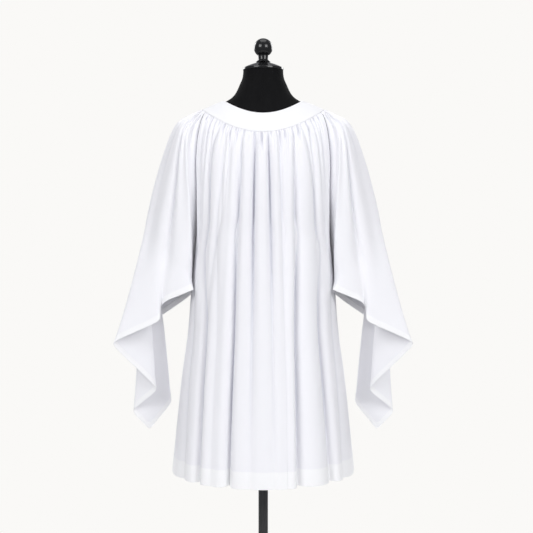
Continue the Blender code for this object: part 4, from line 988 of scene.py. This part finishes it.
def new_material(name):
    """A material with only its shader and output. Returns it with its node tree and shader."""
    material = bpy.data.materials.new(name)
    material.use_nodes = True
    tree = material.node_tree
    return material, tree, tree.nodes["Principled BSDF"]


def place_group(tree, group, values):
    """A node of a group, with numbers or other outputs for its inputs by name."""
    node = tree.nodes.new("ShaderNodeGroup")
    node.node_tree = group
    for name, value in values.items():
        feed(tree, value, node.inputs[name])
    return node


def bump(tree, shader, height, distance):
    """Let a height of so many metres shape the light on a material."""
    node = tree.nodes.new("ShaderNodeBump")
    node.inputs["Distance"].default_value = distance
    node.inputs["Strength"].default_value = 1.0
    tree.links.new(height, node.inputs["Height"])
    tree.links.new(node.outputs[0], shader.inputs["Normal"])


def cotton(name, single, double, waves, shade_strength):
    """White cotton blend, whiter where it lies double, with painted shade that makes it greyer and bluer down
    in the folds.
    """
    material, tree, shader = new_material(name)
    coordinates = tree.nodes.new("ShaderNodeTexCoord")
    uv = tree.nodes.new("ShaderNodeUVMap")
    uv.uv_map = "cloth"
    layers = tree.nodes.new("ShaderNodeAttribute")
    layers.attribute_name = "layers"
    weave = place_group(tree, WEAVE, {"Cloth Place": uv.outputs[0], "Thread Pitch": 0.00045})
    pressed = place_group(tree, PRESSED, {"Place": coordinates.outputs["Object"], "Waves A Metre": waves})
    cloth = mix_colour(tree, layers.outputs["Fac"], single, double)
    # Painted shade: the colour is drawn toward a grey blue where the cloth lies deep in a fold or in the
    # valley beside a sleeve.
    painted_shade = tree.nodes.new("ShaderNodeAttribute")
    painted_shade.attribute_name = "painted_shade"
    shaded_colour = mix_colour(tree, math_node(tree, "MULTIPLY", painted_shade.outputs["Fac"], shade_strength), cloth,
                        FOLD_SHADE_COLOUR)
    toned = mix_colour(tree, math_node(tree, "MULTIPLY", pressed.outputs["Tone"], 0.05), shaded_colour,
                       (0.74, 0.75, 0.80, 1))
    slubbed = mix_colour(tree, math_node(tree, "MULTIPLY", weave.outputs["Slub"], 0.05), toned,
                         (0.97, 0.97, 0.97, 1))
    tree.links.new(slubbed, shader.inputs["Base Color"])
    threads = math_node(tree, "MULTIPLY", weave.outputs["Height"], 0.08)
    height = math_node(tree, "ADD", threads, pressed.outputs["Height"])
    bump(tree, shader, height, 0.0010)
    shader.inputs["Roughness"].default_value = 0.88
    shader.inputs["Specular IOR Level"].default_value = 0.25
    shader.inputs["Sheen Weight"].default_value = 0.12
    shader.inputs["Sheen Roughness"].default_value = 0.5
    return material


def grained(name, grains, dark, pale):
    """A material whose colour changes with its grain. Returns it with its tree, shader and grain node."""
    material, tree, shader = new_material(name)
    coordinates = tree.nodes.new("ShaderNodeTexCoord")
    grain = place_group(tree, GRAIN, {"Place": coordinates.outputs["Object"], "Grains A Metre": grains})
    tree.links.new(mix_colour(tree, grain.outputs["Dust"], dark, pale), shader.inputs["Base Color"])
    return material, tree, shader, grain


def sewing_thread():
    """White thread with a fine grain."""
    material, tree, shader, grain = grained("white sewing thread", 2600.0,
                                            (0.80, 0.80, 0.83, 1), (0.88, 0.88, 0.90, 1))
    bump(tree, shader, grain.outputs["Height"], 0.0001)
    shader.inputs["Roughness"].default_value = 0.60
    return material


def jersey():
    """Matt black knitted cover with a seam down its back and front."""
    material, tree, shader = new_material("black jersey")
    coordinates = tree.nodes.new("ShaderNodeTexCoord")
    place = coordinates.outputs["Object"]
    split = tree.nodes.new("ShaderNodeSeparateXYZ")
    tree.links.new(place, split.inputs[0])
    rib = math_node(tree, "SINE", math_node(tree, "MULTIPLY", split.outputs["X"], 2 * math.pi / 0.0016))
    loop = math_node(tree, "SINE", math_node(tree, "MULTIPLY", split.outputs["Z"], 2 * math.pi / 0.0022))
    knit = math_node(tree, "MULTIPLY", math_node(tree, "ADD", rib, loop), 0.25)
    from_seam = math_node(tree, "DIVIDE", math_node(tree, "ABSOLUTE", split.outputs["X"]), 0.0012)
    seam = math_node(tree, "MINIMUM", from_seam, 1.0)
    pressed = place_group(tree, PRESSED, {"Place": place, "Waves A Metre": 60.0})
    colour = mix_colour(tree, pressed.outputs["Height"],
                        (0.0045, 0.0045, 0.0050, 1), (0.0085, 0.0085, 0.0092, 1))
    tree.links.new(colour, shader.inputs["Base Color"])
    bump(tree, shader, math_node(tree, "ADD", knit, math_node(tree, "MULTIPLY", seam, 2.0)), 0.0003)
    shader.inputs["Roughness"].default_value = 0.92
    shader.inputs["Specular IOR Level"].default_value = 0.10
    return material


def coat(name, grains, dark, pale, dust, roughness, depth):
    """A black coat with grain and a little dust on it. Returns the material and its shader."""
    material, tree, shader, grain = grained(name, grains, dark, pale)
    dusty = math_node(tree, "MULTIPLY_ADD", grain.outputs["Dust"], dust)
    dusty.node.inputs[2].default_value = roughness
    tree.links.new(dusty, shader.inputs["Roughness"])
    bump(tree, shader, grain.outputs["Height"], depth)
    return material, shader


def lacquer(name, roughness):
    """Gloss black lacquer."""
    material, shader = coat(name, 160.0, (0.0050, 0.0050, 0.0056, 1), (0.0110, 0.0110, 0.0120, 1),
                            0.12, roughness, 0.00006)
    shader.inputs["IOR"].default_value = 1.6
    shader.inputs["Specular IOR Level"].default_value = 0.35
    return material


def satin_paint(name, roughness):
    """Satin black paint with a fine sprayed grain."""
    return coat(name, 700.0, (0.018, 0.018, 0.019, 1), (0.034, 0.034, 0.036, 1), 0.15, roughness, 0.00012)[0]


WEAVE = plain_weave_group()
PRESSED = pressed_cloth_group()
GRAIN = speckle_group()
STITCH = stitch_shape()
YOKE_WHITE = (0.885, 0.885, 0.905, 1)
HEM_WHITE = (0.93, 0.93, 0.945, 1)
# The last number is how strongly painted shade darkens each cloth in its folds.
YOKE_COTTON = cotton("yoke cotton", YOKE_WHITE, YOKE_WHITE, 26.0, 0.3)
BODY_COTTON = cotton("body cotton", (0.885, 0.883, 0.918, 1), HEM_WHITE, 16.0, 0.65)
SLEEVE_COTTON = cotton("sleeve cotton", (0.89, 0.888, 0.92, 1), HEM_WHITE, 18.0, 0.50)
THREAD = sewing_thread()
JERSEY = jersey()
CAP_LACQUER = lacquer("cap lacquer", 0.10)
FINIAL_LACQUER = lacquer("finial lacquer", 0.08)
POLE_PAINT = satin_paint("pole paint", 0.38)
BASE_PAINT = satin_paint("base paint", 0.45)


# ---------------------------------------------------------------- the surplice

def make_yoke(name, first_turn, facing, flat):
    """Half of the yoke, from the neck edge to just over the gathers, with its two rows of stitches."""
    turns = np.linspace(first_turn, first_turn + math.pi, YOKE_COLUMNS + 1)
    neck = ring_points(YOKE_NECK, turns)
    seam = ring_points(YOKE_SEAM, turns)
    length = np.linalg.norm(seam - neck, axis=-1)
    down = np.linspace(0, 1, YOKE_ROWS + 1)[:, None] * (1 + YOKE_OVERHANG / length)[None, :]
    points = neck[None] + (seam - neck)[None] * down[..., None]
    from_seam = (1 - down) * length[None, :]
    rise = YOKE_RISE * (1 - ease(from_seam / YOKE_RISE_WIDTH))
    rise = rise + YOKE_CROWN * np.sin(math.pi * np.clip(down, 0, 1))
    points = points + surface_normals(points) * rise[..., None]
    points[:, (0, -1), 1] += facing * HALF_GAP

    near_neck = (0.0, 0.0003, 0.0009, 0.0018, 0.0030, 0.0042, NECK_INSET, 0.0058, 0.0070, 0.0090)
    near_seam = (0.0060, 0.0040, 0.0030, 0.0022, STITCH_INSET, 0.0009, 0.0005, 0.0002, 0.0)
    points, above, below = respaced(points, np.arange(0, YOKE_ROWS + 1, YOKE_ROW_STEP), near_neck, near_seam)
    normals = surface_normals(points)
    round_edge = 1 - ease(np.minimum(above, below) / YOKE_ROUNDING)
    groove = STITCH_DENT * np.exp(-((below - NECK_INSET) / NECK_GROOVE) ** 2)
    groove = groove + STITCH_DENT * np.exp(-((above - STITCH_INSET) / SEAM_GROOVE) ** 2)
    points = points - normals * (groove + YOKE_DRAW * round_edge)[..., None]
    points = dip_edges(points)
    thickness = YOKE_CLOTH * (1 - YOKE_THINNING * round_edge)
    yoke = make_sheet(name, points, above, below, thickness, np.ones_like(above), flat, YOKE_COTTON)

    stitches = []
    for edge, distances, wanted in (("neck", below, NECK_INSET), ("seam", above, STITCH_INSET)):
        row = int(np.argmin(np.abs(distances[:, 0] - wanted)))
        stitches.append(stitch_run("%s_%s_stitches" % (name, edge), yoke.points[row], yoke.normals[row],
                                   THREAD))
    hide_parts(name.replace("_cloth", ""))
    return yoke.piece, stitches


def make_panel(name, side, folds, creases, flat):
    """A body panel from the yoke seam to the hem."""
    levels, keep = sheet_levels(((0, 1, 11), (1, 2, 11), (2, 4, 17), (4, UNDERARM, 15), (UNDERARM, HEM, 26)))
    count = sum(fold.gathers for fold in folds)
    columns = np.linspace(0, count, count * COLUMNS_A_GATHER + 1)
    points = panel_points(side, folds, creases, columns, levels)
    points = soften(points, smooth(levels, *PANEL_SOFTNESS), FOLD_ROUNDS)
    facing = -1 if side == "back" else 1
    points[:, (0, -1), 1] += facing * HALF_GAP
    above_underarm = (levels <= UNDERARM)[:, None]
    inward = -np.sign(points[:, (0, -1), 0])
    points[:, (0, -1), 0] += inward * HALF_GAP * above_underarm
    points = dip_edges(points)
    return make_hemmed_sheet(name, points, keep, BODY_HEM, flat, BODY_COTTON)


def make_sleeve(name, turned, creases, flat):
    """A sleeve from the yoke seam to its mouth. The turned one hangs at -X."""
    levels, keep = sheet_levels(((0, 1, 10), (1, 2, 9), (2, 4, 14), (4, HANGING_LEVEL, 20),
                                 (HANGING_LEVEL, MOUTH, 28)))
    columns = np.linspace(0, SLEEVE_WIDTH, SLEEVE_WIDTH * SLEEVE_COLUMNS_A_GATHER + 1)
    points = sleeve_points(columns, levels)
    points = soften(points, smooth(levels, *TUBE_SOFTNESS), TUBE_ROUNDS)
    points = soften_down(points, smooth(levels, *BEND_SOFTNESS), BEND_ROUNDS)
    points = points + surface_normals(points) * sleeve_relief(creases, columns, levels)[..., None]
    points = soften(points, smooth(levels, *SLEEVE_SOFTNESS), FOLD_ROUNDS)
    for edge in (0, -1):
        points[levels <= UNDERARM, edge, 0] += HALF_GAP
    points[levels >= UNDERARM, 0, 1] -= HALF_GAP
    points[levels >= UNDERARM, -1, 1] += HALF_GAP
    points = dip_edges(points)
    if turned:
        points = points[:, ::-1] * np.array((-1.0, 1.0, 1.0))
    return make_hemmed_sheet(name, points, keep, SLEEVE_HEM, flat, SLEEVE_COTTON,
                             SLEEVE_HOLLOW_ROUNDS, SLEEVE_SHADED_LENGTH)


# Flat width and length of each sheet, measured along its rows and columns of points, and their areas.
YOKE_BACK_FLAT = (0.475, 0.062)
YOKE_FRONT_FLAT = (0.461, 0.062)
BACK_FLAT = (0.81, 0.97)
FRONT_FLAT = (0.78, 0.97)
SLEEVE_FLAT = (1.04, 0.90)   # its mouth slants on both sides down to the point
YOKE_BACK_AREA = 0.0253
YOKE_FRONT_AREA = 0.0239
BACK_AREA = 0.586
FRONT_AREA = 0.550
SLEEVE_AREA = 0.320

for name, first_turn, facing, flat, area in (
    ("yoke_back_cloth", -math.pi / 2, -1, YOKE_BACK_FLAT, YOKE_BACK_AREA),
    ("yoke_front_cloth", math.pi / 2, 1, YOKE_FRONT_FLAT, YOKE_FRONT_AREA),
):
    yoke, stitches = make_yoke(name, first_turn, facing, flat)

back = make_panel("body_back_cloth", "back", BACK_FOLDS, BACK_CREASES, BACK_FLAT)
front = make_panel("body_front_cloth", "front", FRONT_FOLDS, FRONT_CREASES, FRONT_FLAT)
right_sleeve = make_sleeve("sleeve_right_cloth", False, RIGHT_CREASES, SLEEVE_FLAT)
left_sleeve = make_sleeve("sleeve_left_cloth", True, LEFT_CREASES, SLEEVE_FLAT)

for sheet, node, hem, flat, area, slot in (
    (back, "body_back", BODY_HEM, BACK_FLAT, BACK_AREA, "back_cloth"),
    (front, "body_front", BODY_HEM, FRONT_FLAT, FRONT_AREA, "front_cloth"),
    (right_sleeve, "sleeve_right", SLEEVE_HEM, SLEEVE_FLAT, SLEEVE_AREA, "right_sleeve_cloth"),
    (left_sleeve, "sleeve_left", SLEEVE_HEM, SLEEVE_FLAT, SLEEVE_AREA, "left_sleeve_cloth"),
):
    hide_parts(node)
    stitches = hem_stitches(sheet, node + "_hem_stitches", hem)


# ---------------------------------------------------------------- the dress form

def smoothed_copy(node, name, material):
    """A copy of a solid, merged, rounded and smooth, that stands for it."""
    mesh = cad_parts[node].data.copy()
    mesh.name = name
    piece = bpy.data.objects.new(name, mesh)
    bpy.context.scene.collection.objects.link(piece)
    edit_only(piece)
    bpy.ops.mesh.remove_doubles(threshold=0.0001)
    bpy.ops.mesh.tris_convert_to_quads()
    bpy.ops.mesh.select_mode(type="EDGE")
    bpy.ops.mesh.select_all(action="DESELECT")
    bpy.ops.mesh.edges_select_sharp(sharpness=math.radians(60))
    bpy.ops.transform.edge_crease(value=0.9)
    bpy.ops.mesh.select_mode(type="VERT")
    bpy.ops.object.mode_set(mode="OBJECT")
    rounding = piece.modifiers.new("rounding", "SUBSURF")
    rounding.levels = 2
    rounding.render_levels = 2
    bpy.ops.object.modifier_apply(modifier="rounding")
    finish_piece(piece, material, angle=60)
    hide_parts(node)


def turned_piece(name, node, profile, material, sides=96):
    """A turned solid. The profile gives its radius and height in turn, from its underside to its top."""
    low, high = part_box(node)
    centre_x = (low.x + high.x) / 2
    centre_y = (low.y + high.y) / 2
    bpy.ops.object.select_all(action="DESELECT")
    radius, height = profile[0]
    bpy.ops.mesh.primitive_circle_add(vertices=sides, radius=radius, fill_type="NGON",
                                      location=(centre_x, centre_y, height))
    piece = bpy.context.object
    piece.name = name
    piece.data.name = name
    bpy.ops.object.transform_apply(location=True)
    edit_only(piece)
    for next_radius, next_height in profile[1:]:
        bpy.ops.mesh.extrude_region_move(TRANSFORM_OT_translate={"value": (0, 0, next_height - height)})
        ratio = next_radius / radius
        bpy.ops.transform.resize(value=(ratio, ratio, 1), center_override=(centre_x, centre_y, next_height))
        radius = next_radius
        height = next_height
    bpy.ops.mesh.select_all(action="SELECT")
    bpy.ops.mesh.normals_make_consistent(inside=False)
    bpy.ops.object.mode_set(mode="OBJECT")
    finish_piece(piece, material, angle=40)
    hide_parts(node)


def rounded(centre_radius, centre_height, reach, first, last, steps):
    """Points of a profile round part of a circle, between two turns measured from straight down."""
    turns = [first + (last - first) * step / steps for step in range(steps + 1)]
    return [(centre_radius + reach * math.sin(turn), centre_height - reach * math.cos(turn))
            for turn in turns]


def cap_profile():
    """Under edge, rim and dome of the neck cap."""
    low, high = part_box("form_neck_cap")
    radius = (high.x - low.x) / 2
    lip = 0.0012
    profile = rounded(radius - lip, low.z + lip, lip, 0.2, math.pi / 2, 4)
    profile += rounded(radius - lip, low.z + 0.0052, lip, math.pi / 2, math.pi * 0.80, 4)
    rim_radius, rim_height = profile[-1]
    for step in range(1, 19):
        part = step / 18
        rise = math.sin(part * math.pi / 2)
        profile.append((rim_radius * (1 - 0.97 * part), rim_height + (high.z - rim_height) * rise))
    return profile


def finial_profile():
    """Foot, neck and ball of the finial."""
    low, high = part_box("form_finial")
    foot = 0.0195
    neck = 0.0138
    ball = (high.x - low.x) / 2
    centre = high.z - ball
    profile = rounded(foot - 0.0007, low.z + 0.0007, 0.0007, 0.3, math.pi / 2, 3)
    profile += [(foot, low.z + 0.0010), (foot - 0.0004, low.z + 0.0016)]
    profile += [(neck + 0.0024, low.z + 0.0030), (neck + 0.0009, low.z + 0.0052), (neck, low.z + 0.0080)]
    start = math.asin(neck / ball)
    profile += rounded(0.0, centre, ball, start + 0.04, math.pi - 0.05, 26)
    return profile


def pole_profile():
    """Tube and collar of the pole."""
    low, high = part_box("form_pole")
    tube = 0.0125
    collar = (high.x - low.x) / 2
    collar_foot = high.z - 0.0450
    profile = [(tube, low.z), (tube, collar_foot - 0.0004)]
    profile += rounded(collar - 0.0018, collar_foot + 0.0018, 0.0018, 0.1, math.pi / 2, 5)
    profile += [(collar, high.z - 0.0008), (collar - 0.0008, high.z)]
    return profile


def base_profile():
    """Rounded plate and socket of the base."""
    low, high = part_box("form_base")
    rim = (high.x - low.x) / 2
    profile = [(rim - 0.0010, low.z), (rim, low.z + 0.0010)]
    profile += rounded(rim - 0.0040, 0.0080, 0.0040, math.pi / 2, math.pi, 8)
    profile += [(0.0330, 0.0120), (0.0306, 0.0126), (0.0298, 0.0142)]
    profile += [(0.0270, 0.0225), (0.0262, high.z - 0.0012), (0.0240, high.z)]
    return profile


smoothed_copy("form_torso", "torso_jersey", JERSEY)
turned_piece("neck_cap_lacquered", "form_neck_cap", cap_profile(), CAP_LACQUER)
turned_piece("finial_lacquered", "form_finial", finial_profile(), FINIAL_LACQUER)
turned_piece("pole_painted", "form_pole", pole_profile(), POLE_PAINT)
turned_piece("base_painted", "form_base", base_profile(), BASE_PAINT, sides=160)

# ---------------------------------------------------------------- floor, light and camera


def studio_floor():
    """A round pale floor."""
    bpy.ops.object.select_all(action="DESELECT")
    bpy.ops.mesh.primitive_circle_add(vertices=128, radius=1.85, fill_type="NGON")
    floor = bpy.context.object
    floor.name = "studio_floor"
    material, _, shader, _ = grained("studio floor paint", 60.0, (0.80, 0.80, 0.79, 1), (0.84, 0.84, 0.83, 1))
    shader.inputs["Roughness"].default_value = 0.8
    floor.data.materials.append(material)


def studio_world():
    """An even pale surround, brighter to the camera than as a light."""
    world = bpy.data.worlds.new("studio")
    bpy.context.scene.world = world
    world.use_nodes = True
    tree = world.node_tree
    tree.nodes.clear()
    seen = tree.nodes.new("ShaderNodeBackground")
    seen.inputs["Color"].default_value = (0.956, 0.947, 0.930, 1)
    fill = tree.nodes.new("ShaderNodeBackground")
    fill.inputs["Color"].default_value = (0.94, 0.95, 1.0, 1)
    fill.inputs["Strength"].default_value = 0.30
    path = tree.nodes.new("ShaderNodeLightPath")
    mix = tree.nodes.new("ShaderNodeMixShader")
    out = tree.nodes.new("ShaderNodeOutputWorld")
    tree.links.new(path.outputs["Is Camera Ray"], mix.inputs[0])
    tree.links.new(fill.outputs[0], mix.inputs[1])
    tree.links.new(seen.outputs[0], mix.inputs[2])
    tree.links.new(mix.outputs[0], out.inputs[0])


def soft_light(name, place, aim, size, power):
    """A square soft light that faces its aim."""
    data = bpy.data.lights.new(name, "AREA")
    data.shape = "SQUARE"
    data.size = size
    data.energy = power
    light = bpy.data.objects.new(name, data)
    light.location = place
    light.rotation_euler = (Vector(aim) - Vector(place)).to_track_quat("-Z", "Y").to_euler()
    bpy.context.scene.collection.objects.link(light)


studio_floor()
studio_world()
UPPER_AIM = (0, 0, 1.25)
LOW_AIM = (0, 0, 1.0)
for name, place, aim, size, power in (
    ("back_left", (-2.4, -3.0, 2.9), UPPER_AIM, 2.0, 73),
    ("back_right", (2.4, -3.0, 2.7), UPPER_AIM, 2.0, 74),
    ("back_middle", (0, -4.2, 1.5), LOW_AIM, 0.8, 14),
    ("front_left", (-2.4, 3.0, 2.7), UPPER_AIM, 2.0, 66),
    ("front_right", (2.4, 3.0, 2.5), UPPER_AIM, 2.0, 66),
    ("front_middle", (0, 4.2, 1.5), LOW_AIM, 0.8, 14),
    ("above", (0, 0, 3.6), (0, 0, 1.1), 1.6, 14),
):
    soft_light(name, place, aim, size, power)
# The middle lights only lift the cloth, and leave no third highlight on the ball.
for name in ("back_middle", "front_middle"):
    bpy.data.objects[name].visible_glossy = False

camera_data = bpy.data.cameras.new("camera")
camera_data.lens = 101.95
camera_data.sensor_width = 36
camera = bpy.data.objects.new("camera", camera_data)
camera.location = (0.0087, -4.0, 1.0614)
camera.rotation_euler = (math.pi / 2, 0, 0)
bpy.context.scene.collection.objects.link(camera)
bpy.context.scene.camera = camera
bpy.context.scene.view_settings.view_transform = "Standard"
